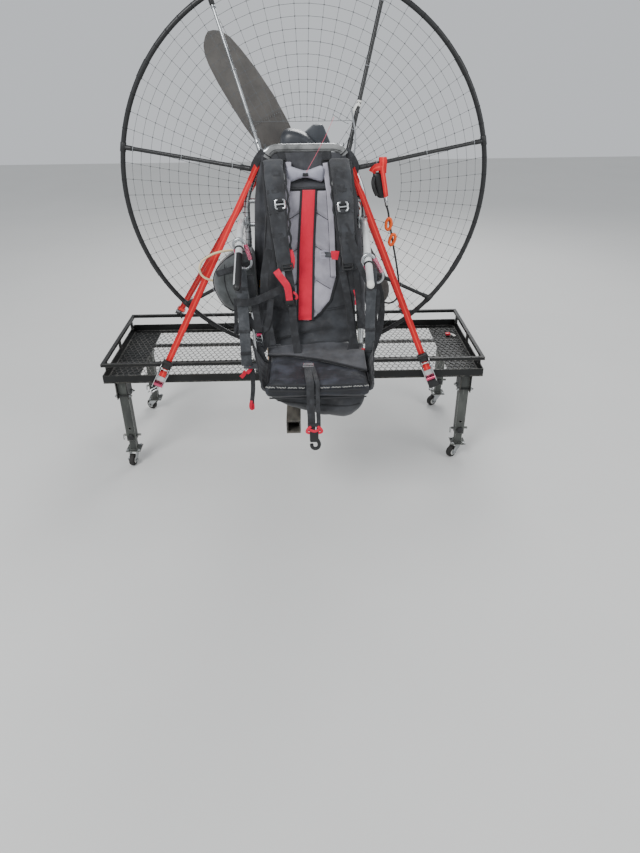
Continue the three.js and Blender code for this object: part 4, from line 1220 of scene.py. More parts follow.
class PARAMOTOR_OT_net(bpy.types.Operator):
    """Strings the safety net from behind the frame's tube to behind the hoop's"""

    bl_idname = "paramotor.net"
    bl_label = "Safety net"

    RINGS = (235, 272, 308, 345, 382, 418, 455, 490, 525, 560, 595, 628)
    SAG = 6
    FRONT, BACK = -237.5, -100.9
    THROTTLE, FIRST_AT_THROTTLE = 18, 345
    HEM_Z = 1334
    LEG_HALF, LEG_RING, FIRST_CORD = 209, 455, -82.5

    def execute(self, context):
        sizes = settings().net
        self.radius = sizes.cord / 2
        parts = Solids()
        legs = math.degrees(math.asin(self.LEG_HALF / self.LEG_RING))
        angles = np.arange(-90 + legs + sizes.step / 2, 270 - legs, sizes.step)
        shift = (angles[0] - self.FIRST_CORD) % sizes.step
        angles = [a - shift + sizes.step for a in angles if a - shift + sizes.step < 270 - legs]
        for angle in angles:
            self.ray(parts, angle, net_cord)
        for radius in self.RINGS:
            self.ring(parts, radius, angles, net_cord)
        self.hem(parts, angles, net_cord)
        parts.make("net_cords", replaces=["safety_net"])
        return {"FINISHED"}

    def at_throttle(self, angle):
        return abs(angle) < self.THROTTLE

    def over_dome(self, angle):
        return 56 < angle < 128

    def hem(self, parts, angles, cord):
        """The cord between the two upper spars that the net over the dome starts from."""
        ends = []
        for _, degrees, x, z, _ in SPARS:
            if 60 < degrees < 120:
                start, end = spar_ends(degrees, x, z)
                share = (self.HEM_Z / 1000 - start.z) / (end.z - start.z)
                ends.append(start.lerp(end, share) + Vector((0, 0.0078, 0)))
        ends.sort(key=lambda point: -point.x)
        inner = [a for a in angles if self.over_dome(a)
                 and ends[1].x < self.net_spot(a, self.hem_radius(a)).x < ends[0].x]
        path = [ends[0], *(self.net_spot(a, self.hem_radius(a)) for a in inner), ends[1]]
        parts.tube(path, self.radius * 1.3, cord, sides=6)

    def hem_radius(self, angle):
        return (self.HEM_Z - HUB_Z) / math.sin(math.radians(angle))

    def ray(self, parts, angle, cord):
        reach, tube_way = frame_reach(angle)
        first = [self.FIRST_AT_THROTTLE] if self.at_throttle(angle) else [reach - 5, reach]
        if self.over_dome(angle):
            first = [self.hem_radius(angle)]
        radii = first + [radius for radius in self.RINGS if radius > first[-1] + 1] + [HOOP_RADIUS]
        parts.tube([self.net_spot(angle, radius) for radius in radii], self.radius, cord, sides=6)
        around = on_hoop(angle + 1) - on_hoop(angle - 1)
        self.loop(parts, on_hoop(angle), around.normalized(), HOOP_TUBE, black_thread)
        if not self.at_throttle(angle) and not self.over_dome(angle):
            self.loop(parts, on_hoop(angle, reach, FRAME_Y), tube_way, 11, cord)

    def loop(self, parts, centre, way, tube, cord):
        """Two turns of cord tied round a tube."""
        side = way.cross(REAR)
        radius = tube / 1000 + self.radius * 0.8
        for shift in (-1, 1):
            ring = ring_path(centre + way * shift * self.radius, REAR * radius, side * radius, count=14)
            parts.tube(ring, self.radius, cord, sides=5, closed=True)
        parts.box(centre + REAR * (radius + self.radius), (0.005, 0.003, 0.005), cord, round_by=0)

    def ring(self, parts, radius, angles, cord):
        """A ring of cord: straight between knots, open where the frame or the throttle is in its way."""
        inside = [angle for angle in angles if frame_reach(angle)[0] < radius]
        side = math.degrees(math.asin(self.LEG_HALF / radius))
        inside = [-90 + side, *inside, 270 - side]
        runs = [[]]
        for angle in inside:
            before_throttle = radius < self.FIRST_AT_THROTTLE and self.at_throttle(angle)
            if before_throttle or self.over_dome(angle) and radius < self.hem_radius(angle):
                runs.append([])
            else:
                runs[-1].append(angle)
        for run in runs:
            if len(run) < 2:
                continue
            path = [self.net_spot(angle, radius) for angle in run]
            parts.tube(path, self.radius, cord, sides=6)
            for point in path:
                parts.box(point, (0.0036, 0.003, 0.0036), cord, round_by=0)

    def net_spot(self, angle, radius):
        reach = frame_reach(angle)[0]
        share = min(1.0, max(0.0, (radius - reach) / (HOOP_RADIUS - reach)))
        y = self.FRONT + (self.BACK - self.FRONT) * share + self.SAG * math.sin(math.pi * share)
        return on_hoop(angle, radius, y)


class PARAMOTOR_OT_skid(bpy.types.Operator):
    """Makes the skid with its tank bars and end caps, and the tank's cap, straps and line"""

    bl_idname = "paramotor.skid"
    bl_label = "Skid and tank"

    BASE_Z = 415.6
    HALF = 205

    def execute(self, context):
        parts = Solids()
        corners = [(-self.HALF, -263), (-self.HALF, 20), (self.HALF, 20), (self.HALF, -263)]
        parts.tube(bent([spot(x, y, self.BASE_Z) for x, y in corners], 0.06), 0.011, bare_tube, sides=24)
        for y in (-212, -148):
            parts.tube([spot(-self.HALF, y, self.BASE_Z), spot(self.HALF, y, self.BASE_Z)], 0.007,
                       bare_tube, sides=18)
        for side in (-1, 1):
            end = spot(side * self.HALF, -263, self.BASE_Z)
            parts.turned(end + Vector((0, 0.012, 0)), FRONT,
                         [(0, 0.0116), (0.013, 0.0116), (0.0155, 0.008), (0.0156, 0.001)], black_plastic)
        parts.make("skid_tubes", replaces=["base_skid"])
        finish_node("fuel_tank", tank_plastic, 0.003)
        self.tank_fittings()
        return {"FINISHED"}

    def tank_fittings(self):
        parts = Solids()
        low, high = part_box("fuel_tank")
        cap = spot(85, -180, 652)
        profile = [(0, 0.0255), (0.002, 0.0275), (0.012, 0.0275), (0.0145, 0.025), (0.0146, 0.001)]
        parts.turned(cap, UP, profile, black_plastic, sides=28)
        for i in range(14):
            angle = 2 * math.pi * i / 14
            rib = cap + Vector((math.cos(angle), math.sin(angle), 0)) * 0.0272
            parts.rod(rib + Vector((0, 0, 0.003)), rib + Vector((0, 0, 0.0115)), 0.002, black_plastic,
                      sides=8)
        front, back = low.y - 0.0015, high.y + 0.0015
        for x in (-95, 20):
            place = spot(x, 0, 0).x
            loop = [Vector((place, front, low.z + 0.02)), Vector((place, front, high.z - 0.03)),
                    Vector((place, (front + back) / 2, 0.6415)), Vector((place, back, high.z - 0.03)),
                    Vector((place, back, low.z + 0.02))]
            middle = (low + high) / 2
            path = smooth_path(loop, 0.008)
            facing = [Vector((0, p.y - middle.y, (p.z - middle.z) * 0.25)) for p in path]
            parts.sweep(path, flat_section(0.025, 0.002), black_web, facing=facing)
        parts.turned(spot(-120, -180, 639), UP, [(0, 0.011), (0.004, 0.011), (0.005, 0.006),
                                                 (0.016, 0.0045), (0.0165, 0.001)], black_plastic)
        line = smooth_path(spots([(-120, -180, 655), (-128, -168, 690), (-100, -150, 760), (-70, -112, 850),
                                  (-48, -92, 930), (-40, -84, 985)]), 0.01)
        parts.tube(line, 0.0035, cream_hose, sides=10)
        parts.make("tank_fittings")


# Engine and propeller

class PARAMOTOR_OT_engine(bpy.types.Operator):
    """Finishes the engine and adds its fins, plug, starter, carburettor, gear cover and exhaust fittings"""

    bl_idname = "paramotor.engine"
    bl_label = "Engine"

    ENGINE_Y = -135
    CRANK_Z = 1045

    def execute(self, context):
        finish_node("crankcase", cast_metal, 0.0018)
        finish_node("exhaust", exhaust_steel, 0.0008)
        self.cylinder()
        self.starter()
        self.intake_side()
        self.gear_cover()
        self.exhaust_fittings()
        return {"FINISHED"}

    def cylinder(self):
        """Round fins, the head and the spark plug with its cap and lead."""
        parts = Solids()
        core, fin, pitch, top = 0.033, 0.050, 0.009, 984.7
        start = spot(0, self.ENGINE_Y, top)
        profile = [(0.0, 0.001), (0.0001, core)]
        for i in range(11):
            z = 0.004 + i * pitch
            profile += [(z, core), (z + 0.0004, fin - 0.0008), (z + 0.0012, fin), (z + 0.0028, fin),
                        (z + 0.0036, fin - 0.0008), (z + 0.004, core)]
        end = 0.004 + 11 * pitch
        profile += [(end, core), (end + 0.008, core - 0.006), (end + 0.0081, 0.001)]
        parts.turned(start, DOWN, profile, cast_metal, sides=48)
        bottom = start + DOWN * (end + 0.008)
        parts.hexagon(bottom, DOWN, 0.018, 0.007, zinc)
        parts.turned(bottom + DOWN * 0.007, DOWN, [(0, 0.0055), (0.014, 0.0055), (0.0141, 0.001)],
                     white_plastic)
        cap = bottom + DOWN * 0.018
        parts.turned(cap, DOWN, [(-0.006, 0.0095), (0.010, 0.0105), (0.018, 0.009), (0.0185, 0.001)],
                     black_plastic)
        lead = smooth_path([cap + DOWN * 0.012, cap + Vector((0.03, 0.004, -0.024)),
                            cap + Vector((0.062, 0.01, 0.02)), cap + Vector((0.066, 0.0, 0.085)),
                            cap + Vector((0.056, -0.012, 0.16))], 0.006)
        parts.tube(lead, 0.0037, black_plastic, sides=12)
        for i in range(4):
            angle = math.radians(45 + 90 * i)
            stud = bottom + Vector((math.cos(angle) * 0.021, math.sin(angle) * 0.021, 0.004))
            parts.hexagon(stud, DOWN, 0.010, 0.006, zinc)
        parts.make("finned_cylinder", replaces=["cylinder"])

    def starter(self):
        """Recoil cover with its slots, rope and grip on the pilot's side."""
        parts = Solids()
        face = spot(0, -206.3, self.CRANK_Z)
        parts.turned(face, FRONT, [(0, 0.047), (0.004, 0.047), (0.008, 0.043), (0.012, 0.026),
                                   (0.0125, 0.001)], black_plastic, sides=40)
        for i in range(12):
            angle = 2 * math.pi * i / 12
            out = Vector((math.cos(angle), 0, math.sin(angle)))
            parts.box(face + FRONT * 0.0095 + out * 0.033, (0.014, 0.003, 0.0035), machined_metal,
                      turn=Matrix.Rotation(-angle, 3, "Y").to_quaternion(), round_by=0.0006)
            if i % 4 == 0:
                parts.hexagon(face + FRONT * 0.004 + out * 0.0445, FRONT, 0.006, 0.0045, zinc)
        rope = smooth_path([face + FRONT * 0.006 + Vector((-0.046, 0, 0.004)), spot(-80, -222, 1052),
                            spot(-110, -232, 1060)], 0.006)
        parts.tube(rope, 0.0022, black_thread, sides=8)
        grip = spot(-112, -232, 1060)
        parts.rod(grip + Vector((-0.008, -0.001, -0.016)), grip + Vector((-0.004, 0.001, 0.018)), 0.0065,
                  black_plastic, sides=16)
        parts.make("recoil_starter")

    def intake_side(self):
        """Carburettor between the crankcase and the air box, with its bowl, cable and primer."""
        parts = Solids()
        throat = spot(59, self.ENGINE_Y, self.CRANK_Z + 6)
        parts.turned(throat - RIGHT * 0.004, RIGHT, [(0, 0.016), (0.012, 0.016), (0.013, 0.019),
                                                     (0.042, 0.019), (0.043, 0.015), (0.052, 0.015),
                                                     (0.0521, 0.001)], cast_metal, sides=28)
        parts.box(throat + RIGHT * 0.025 + Vector((0, 0, -0.021)), (0.03, 0.034, 0.016), cast_metal,
                  round_by=0.003)
        parts.box(throat + RIGHT * 0.025 + Vector((0, 0, 0.021)), (0.026, 0.03, 0.012), cast_metal,
                  round_by=0.003)
        parts.rod(throat + RIGHT * 0.025 + Vector((0, -0.032, 0)),
                  throat + RIGHT * 0.025 + Vector((0, 0.03, 0)), 0.004, zinc, sides=14)
        rubber = smooth_path([throat + RIGHT * 0.046, throat + Vector((0.072, 0.0, 0.018)),
                              throat + Vector((0.068, 0.006, 0.07)), spot(52, -128, 1188)], 0.008)
        parts.tube(rubber, 0.018, black_plastic, sides=24)
        cable = smooth_path([throat + Vector((0.025, -0.03, 0.004)), spot(98, -178, 1062),
                             spot(140, -226, 1080), spot(168, -250, 1094), spot(205, -262, 1098)], 0.01)
        parts.tube(cable, 0.0028, black_plastic, sides=10)
        parts.make("carburettor")

    def gear_cover(self):
        """Bolts round the reduction drive's cover and its round cap of bare metal."""
        parts = Solids()
        for i in range(9):
            angle = math.radians(180 + 180 * i / 8)
            place = spot(51 * math.cos(angle), -50, self.CRANK_Z + 51 * math.sin(angle))
            parts.hexagon(place, REAR, 0.008, 0.005, zinc)
        for x, z in ((-47, 1068), (47, 1068), (-42, 1095), (42, 1095), (-26, 1142), (0, 1149), (26, 1142)):
            parts.hexagon(spot(x, -50, z), REAR, 0.008, 0.005, zinc)
        parts.turned(spot(0, -50, self.CRANK_Z), REAR, [(0, 0.030), (0.003, 0.030), (0.005, 0.027),
                                                        (0.0055, 0.001)], machined_metal, sides=40)
        for x in (-42, 42):
            for z in (1005, 1085):
                rubber = spot(x, -241, z)
                parts.turned(rubber, REAR, [(0.0, 0.011), (0.004, 0.014), (0.014, 0.0155), (0.026, 0.014),
                                            (0.030, 0.011), (0.0301, 0.0085)], black_plastic, sides=28)
                parts.hexagon(spot(x, -259.4, z), FRONT, 0.013, 0.006, zinc)
        parts.make("drive_bolts")

    def exhaust_fittings(self):
        """Springs across the joints, brackets and rubber mounts of the exhaust."""
        parts = Solids()
        y = self.ENGINE_Y
        for side in (-1, 1):
            self.spring(parts, spot(-106, y + side * 17, 772), spot(-146, y + side * 19, 788))
            self.spring(parts, spot(168 + side * 13, y + side * 6, 826),
                        spot(168 + side * 22, y + side * 8, 858))
        parts.turned(spot(-51, y, 925), Vector((-1, 0, 0)), [(0, 0.024), (0.005, 0.024), (0.0051, 0.017)],
                     zinc, sides=28)
        for side in (-1, 1):
            parts.hexagon(spot(-56, y, 925 + side * 20), Vector((-1, 0, 0)), 0.009, 0.006, zinc)
        for x, z in ((168, 868), (168, 952)):
            band = ring_path(spot(x, y, z), Vector((0.0325, 0, 0)), Vector((0, 0.0325, 0)), count=40)
            parts.sweep(band, flat_section(0.010, 0.0015), zinc, facing=[p - spot(x, y, z) for p in band],
                        closed=True)
            parts.box(spot(x + 20, y - 45, z), (0.006, 0.04, 0.010), zinc, round_by=0.0008)
            parts.rod(spot(x + 20, y - 66, z), spot(x + 20, y - 96, z), 0.008, black_plastic, sides=20)
            parts.box(spot(x + 27, FRAME_Y + 12, z), (0.028, 0.004, 0.016), zinc, round_by=0.0008)
        parts.make("exhaust_fittings")

    def spring(self, parts, start, end):
        axis = end - start
        out = axis.orthogonal().normalized()
        across = axis.normalized().cross(out)
        path = []
        for i in range(97):
            t = i / 96
            angle = 2 * math.pi * 8 * t
            path.append(start + axis * t + (out * math.cos(angle) + across * math.sin(angle)) * 0.0032)
        parts.tube(path, 0.0007, zinc, sides=6)


class PARAMOTOR_OT_air_box(bpy.types.Operator):
    """Makes the glossy domed air box with its slate-grey angular intake"""

    bl_idname = "paramotor.air_box"
    bl_label = "Air box"

    DOME = ((-62, 1180), (-74, 1196), (-82, 1214), (-86, 1236), (-87, 1262), (-83, 1284), (-73, 1299),
            (-57, 1306), (-34, 1305), (-10, 1298), (14, 1285), (34, 1268), (52, 1248), (64, 1226),
            (70, 1204), (72, 1180), (40, 1178), (0, 1178), (-36, 1178))
    INTAKE = ((18, 1195), (76, 1200), (100, 1240), (70, 1308), (64, 1314), (34, 1314), (-4, 1284))
    BACK_Y, FRONT_Y = -75, -185

    def execute(self, context):
        parts = Solids()
        centre_x, centre_z = -8, 1232
        rings = []
        for y, size in ((self.FRONT_Y, 0.55), (self.FRONT_Y + 4, 0.78), (self.FRONT_Y + 14, 0.93),
                        (self.FRONT_Y + 34, 1.0), (self.BACK_Y - 34, 1.0), (self.BACK_Y - 12, 0.96),
                        (self.BACK_Y - 3, 0.86), (self.BACK_Y, 0.7)):
            rings.append([spot(centre_x + (x - centre_x) * size, y, centre_z + (z - centre_z) * size)
                          for x, z in self.DOME])
        parts.loft(rings, gloss_shell)
        dome = parts.make("air_box_dome", replaces=["air_box"], crease=80)
        subdivide(dome, 2)
        scoop = Solids()
        rings = []
        middle_x, middle_z = 45, 1248
        for y, size in ((-116, 0.9), (-114, 0.985), (-110, 1.0), (-76, 1.0), (-72.5, 0.985), (-70.5, 0.92)):
            rings.append([spot(middle_x + (x - middle_x) * size, y, middle_z + (z - middle_z) * size)
                          for x, z in self.INTAKE])
        scoop.loft(rings, slate_shell)
        scoop.make("air_intake")
        return {"FINISHED"}


class PARAMOTOR_OT_propeller(bpy.types.Operator):
    """Makes the hub with its bolts and the two canvas blade covers with their seams and folds"""

    bl_idname = "paramotor.propeller"
    bl_label = "Propeller"

    ANGLE = math.radians(122)
    PLANE_Y = -15
    START, TIP = 100, 585
    HALF_THICK = 17
    # distance from the hub along the blade, distance across it
    LOW_EDGE = ((100, -42), (145, -52), (200, -60), (300, -65), (400, -60), (480, -50), (530, -40),
                (556, -27), (574, -10), (583, 6), (585, 14))
    HIGH_EDGE = ((100, 46), (150, 66), (210, 79), (280, 84), (350, 84), (440, 81), (500, 75), (535, 67),
                 (560, 54), (576, 36), (584, 22), (585, 16))
    STITCH_LINE = 0.32
    STITCH = (0.0014, 0.0084, 0.00216)

    def execute(self, context):
        finish_node("propeller_hub", machined_metal, 0.0015)
        self.hub_fittings()
        for name, turn in (("upper", 0.0), ("lower", math.pi)):
            self.cover(name, turn)
        return {"FINISHED"}

    def on_blade(self, turn, along, y, across):
        angle = self.ANGLE + turn
        return spot(along * math.cos(angle) - across * math.sin(angle), y,
                    HUB_Z + along * math.sin(angle) + across * math.cos(angle))

    def hub_fittings(self):
        parts = Solids()
        for i in range(6):
            angle = math.radians(60 * i + 32)
            place = spot(31 * math.cos(angle), 10, HUB_Z + 31 * math.sin(angle))
            parts.turned(place, REAR, [(0, 0.0095), (0.0015, 0.0095), (0.0016, 0.001)], zinc)
            parts.hexagon(place + REAR * 0.0015, REAR, 0.013, 0.008, zinc)
        parts.turned(spot(0, 10, HUB_Z), REAR, [(0, 0.0135), (0.006, 0.0125), (0.0061, 0.001)],
                     machined_metal, sides=32)
        parts.make("hub_bolts", "propeller")

    def edges(self, t):
        """The cover's two edges across the blade, at a share of its length."""
        along = self.START + (self.TIP - self.START) * t
        return tuple(float(np.interp(along, [row[0] for row in edge], [row[1] for row in edge]))
                     for edge in (self.LOW_EDGE, self.HIGH_EDGE))

    def cover(self, name, turn):
        parts = Solids()
        columns, around = 70, 40
        rings = []
        for i in range(columns + 1):
            t = i / columns
            low, high = self.edges(t)
            along = self.START + (self.TIP - self.START) * t
            half = self.HALF_THICK * (0.82 if t < 0.9
                                      else 0.82 * math.sqrt(max(0.02, 1 - ((t - 0.9) / 0.1) ** 2)))
            ring = []
            for j in range(around):
                angle = 2 * math.pi * j / around
                u = math.cos(angle)
                v = squared(math.sin(angle), 0.75)
                across = (low + high) / 2 + (high - low) / 2 * u
                fold = ripple(along * 0.010, across * 0.030, v * 2 + turn * 3)
                crease = ripple(along * 0.028 + across * 0.045, across * 0.012, v + turn)
                pucker = math.sin(across * 0.22 + 3 * fold) * max(0.0, 1 - along / 260)
                depth = half * v * (0.70 + 0.30 * fold) + (5.0 * crease + 2.6 * pucker) * abs(v)
                ring.append(self.on_blade(turn, along, self.PLANE_Y + depth, across))
            rings.append(ring)
        parts.loft(rings, cover_cloth)
        cover = parts.make(f"canvas_cover_{name}", "propeller", [f"blade_cover_{name}"],
                           crease=180)
        details = Solids()
        for face in (-1, 1):
            self.seam(details, turn, face)
        self.drawstring(details, turn)
        details.make(f"cover_seams_{name}", "propeller")

    def seam(self, details, turn, face):
        """A dashed line of grey stitches across the cover."""
        low, high = self.edges(self.STITCH_LINE)
        along = self.START + (self.TIP - self.START) * self.STITCH_LINE
        count = 15
        for k in range(count):
            u = -0.86 + 1.72 * (k + 0.5) / count
            self.stitch(details, turn, face, along + 10 * u, (low + high) / 2 + (high - low) / 2 * u)

    def stitch(self, details, turn, face, along, across):
        low, high = self.edges((along - self.START) / (self.TIP - self.START))
        u = (across - (low + high) / 2) / max(1.0, (high - low) / 2)
        v = max(0.0, 1 - u * u) ** 0.375
        y = self.PLANE_Y + face * self.HALF_THICK * 0.82 * v * 0.93
        quaternion = Matrix.Rotation(-(self.ANGLE + turn) + math.pi / 2, 3, "Y").to_quaternion()
        place = self.on_blade(turn, along, y + face * 0.6, across)
        details.box(place, self.STITCH, cable_grey, turn=quaternion, round_by=0)

    def drawstring(self, details, turn):
        """A drawn hem where the cover closes round the blade's root."""
        low, high = self.edges(0.02)
        path = []
        for j in range(48):
            angle = 2 * math.pi * j / 48
            across = (low + high) / 2 + ((high - low) / 2 + 0.6) * math.cos(angle)
            y = self.PLANE_Y + self.HALF_THICK * 0.86 * squared(math.sin(angle), 0.75)
            path.append(self.on_blade(turn, self.START + 8 + 2.0 * math.sin(angle * 9), y, across))
        details.tube(path, 0.0022, black_thread, sides=8, closed=True)


# Free cords, made before the rest

def way_length(path):
    return sum((after - before).length for before, after in zip(path, path[1:]))


def free_curve(name, points, radius, finish, replaces=()):
    """A round cord as one open curve."""
    path = smooth_path(points, 0.004)
    data = bpy.data.curves.new(name, "CURVE")
    data.dimensions = "3D"
    data.bevel_depth = radius
    data.bevel_resolution = 5
    data.use_fill_caps = True
    spline = data.splines.new("POLY")
    spline.points.add(len(path) - 1)
    for point, place in zip(spline.points, path):
        point.co = (*place, 1.0)
    data.materials.append(paint(finish))
    made = bpy.data.objects.new(name, data)
    bpy.context.scene.collection.objects.link(made)
    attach(made, "carrier")
    if replaces:
        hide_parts(*replaces)
    way_length(path)
    return made


def free_strap(name, points, width, finish, facing, tip):
    """A hanging end of webbing with a folded tape loop at its tip."""
    path = smooth_path(points, 0.006)
    parts = Solids()
    parts.sweep(path, flat_section(width, 0.0016), finish, facing)
    made = parts.make(name)
    end = path[-1]
    loop = Solids()
    loop.strap([end + Vector((0, -0.0012, 0.012)), end + Vector((-0.004, -0.006, -0.004)),
                end + Vector((-0.003, -0.006, -0.018)), end + Vector((0.004, -0.002, -0.020)),
                end + Vector((0.004, 0.0014, 0.008))], width * 0.7, tip, step=0.005)
    on_it = loop.make(f"{name}_tip")
    way_length(path)
    return made


class PARAMOTOR_OT_cords(bpy.types.Operator):
    """Makes the throttle's cable, the fuel hose's loop and the webbing ends that hang free"""

    bl_idname = "paramotor.cords"
    bl_label = "Free cords"

    CABLE = (
        (292, -223, 1052), (298, -223, 1032), (306, -223, 990), (317, -223, 935), (331, -224, 872),
        (343, -225, 812), (350, -227, 765), (350, -230, 730), (337, -234, 706), (314, -239, 698),
        (288, -244, 706), (264, -248, 722), (240, -250, 736), (218.8, -250, 744),
    )
    HOSE = (
        (-196, -250, 900), (-238, -262, 914), (-286, -288, 922), (-336, -302, 914), (-376, -306, 890),
        (-388, -306, 858), (-376, -304, 832), (-344, -298, 816), (-296, -278, 804), (-246, -258, 792),
        (-196, -250, 786),
    )

    SMALL = (
        # name, its line, radius, finish, far end, stiffness, lay
        ("spar_cable", ((158, -234, 1374), (163, -238, 1350), (169, -244, 1318), (172, -250, 1290),
                        (171, -256, 1256), (167, -258, 1228)), 0.0026, cable_grey, "object", "medium",
         "hanging"),
        ("spar_cord", ((150, -231, 1326), (132, -234, 1334), (112, -238, 1346), (96, -240, 1357)), 0.0014,
         cable_grey, "knot", "limp", "taut"),
        ("headrest_thread", ((4, -333, 1190), (40, -298, 1243), (72, -268, 1295), (100, -241, 1348)),
         0.0006, pink_thread, "knot", "limp", "taut"),
    )
    ENDS = (
        # name, its line from where it is sewn on, width
        ("hanging_strap_end", ((-203, -523, 568), (-202, -526, 540), (-204, -528, 484), (-212, -531, 428)),
         0.016),
        ("pouch_strap_end", ((-256, -394, 780), (-257, -400, 750), (-260, -399, 706), (-262, -396, 668)),
         0.014),
    )

    def execute(self, context):
        free_curve("throttle_cable_sheath", spots(self.CABLE), 0.0035, black_plastic,
                   ["throttle_cable"])
        free_curve("fuel_hose_loop", spots(self.HOSE), 0.0042, cream_hose)
        for name, points, radius, finish, far_end, stiffness, lay in self.SMALL:
            free_curve(name, spots(points), radius, finish)
        for name, points, width in self.ENDS:
            tip = pink_web if name == "hanging_strap_end" else black_web
            free_strap(name, spots(points), width, black_web, FRONT, tip)
        return {"FINISHED"}


# Surface of the backrest

BACK_FRONT = ((545, -470), (602, -470), (700, -420), (1000, -345), (1140, -328))
BACK_REAR = ((545, -425), (640, -332), (820, -261), (1140, -261))
BACK_LEFT = ((545, -146), (700, -152), (880, -158), (1050, -140), (1140, -118))
BACK_RIGHT = ((545, 160), (640, 168), (880, 160), (1050, 142), (1140, 122))


def along_table(table, z):
    """Value at a height, from (height, value) pairs."""
    return float(np.interp(z, [row[0] for row in table], [row[1] for row in table]))


def back_folds(x, z):
    """Depth of the folds in the backrest's cloth, deep where the yoke gathers above the seat."""
    yoke = max(0.0, min(1.0, (735 - z) / 60))
    sweep = z + 0.0016 * (x - 20) ** 2 - 0.14 * x
    fold = math.sin(sweep * 0.13 + 2.2 * ripple(x * 0.012, z * 0.02, 1.3)) * 8.5
    fold += ripple(x * 0.011, z * 0.032, 1.3) * 10 + ripple(x * 0.03, z * 0.07, 4.1) * 4
    plain = ripple(x * 0.035, z * 0.008, 7.7) * 3 + ripple(x * 0.06, z * 0.05, 2.2) * 1.5
    return fold * yoke + plain * (1 - yoke)


def back_spot(x, z, lift=0.0):
    """A place on the backrest's front face, lifted off it towards the pilot, in millimetres."""
    left, right = along_table(BACK_LEFT, z), along_table(BACK_RIGHT, z)
    share = min(1.0, abs(2 * x - left - right) / (right - left))
    y = along_table(BACK_FRONT, z) + 34 * share ** 7 - back_folds(x, z) * (1 - share ** 8)
    return spot(x, y - lift, z)


def skin(parts, heights, left, right, lift, finish, columns=20, under=-2.0):
    """A padded strip on the backrest between two edges given by height. lift takes x, z and the share."""
    rings = []
    for z in heights:
        low, high = along_table(left, z), along_table(right, z)
        shares = [i / columns for i in range(columns + 1)]
        top = [back_spot(low + (high - low) * s, z, lift(low + (high - low) * s, z, s)) for s in shares]
        bottom = [back_spot(low + (high - low) * s, z, under) for s in reversed(shares)]
        rings.append(top + bottom)
    return parts.loft(rings, finish)


def crown(share, height, sharp=6):
    return height * (1 - abs(2 * share - 1) ** sharp)


def heights(top, bottom, step=6.0):
    count = max(2, round(abs(top - bottom) / step))
    return [top + (bottom - top) * i / count for i in range(count + 1)]


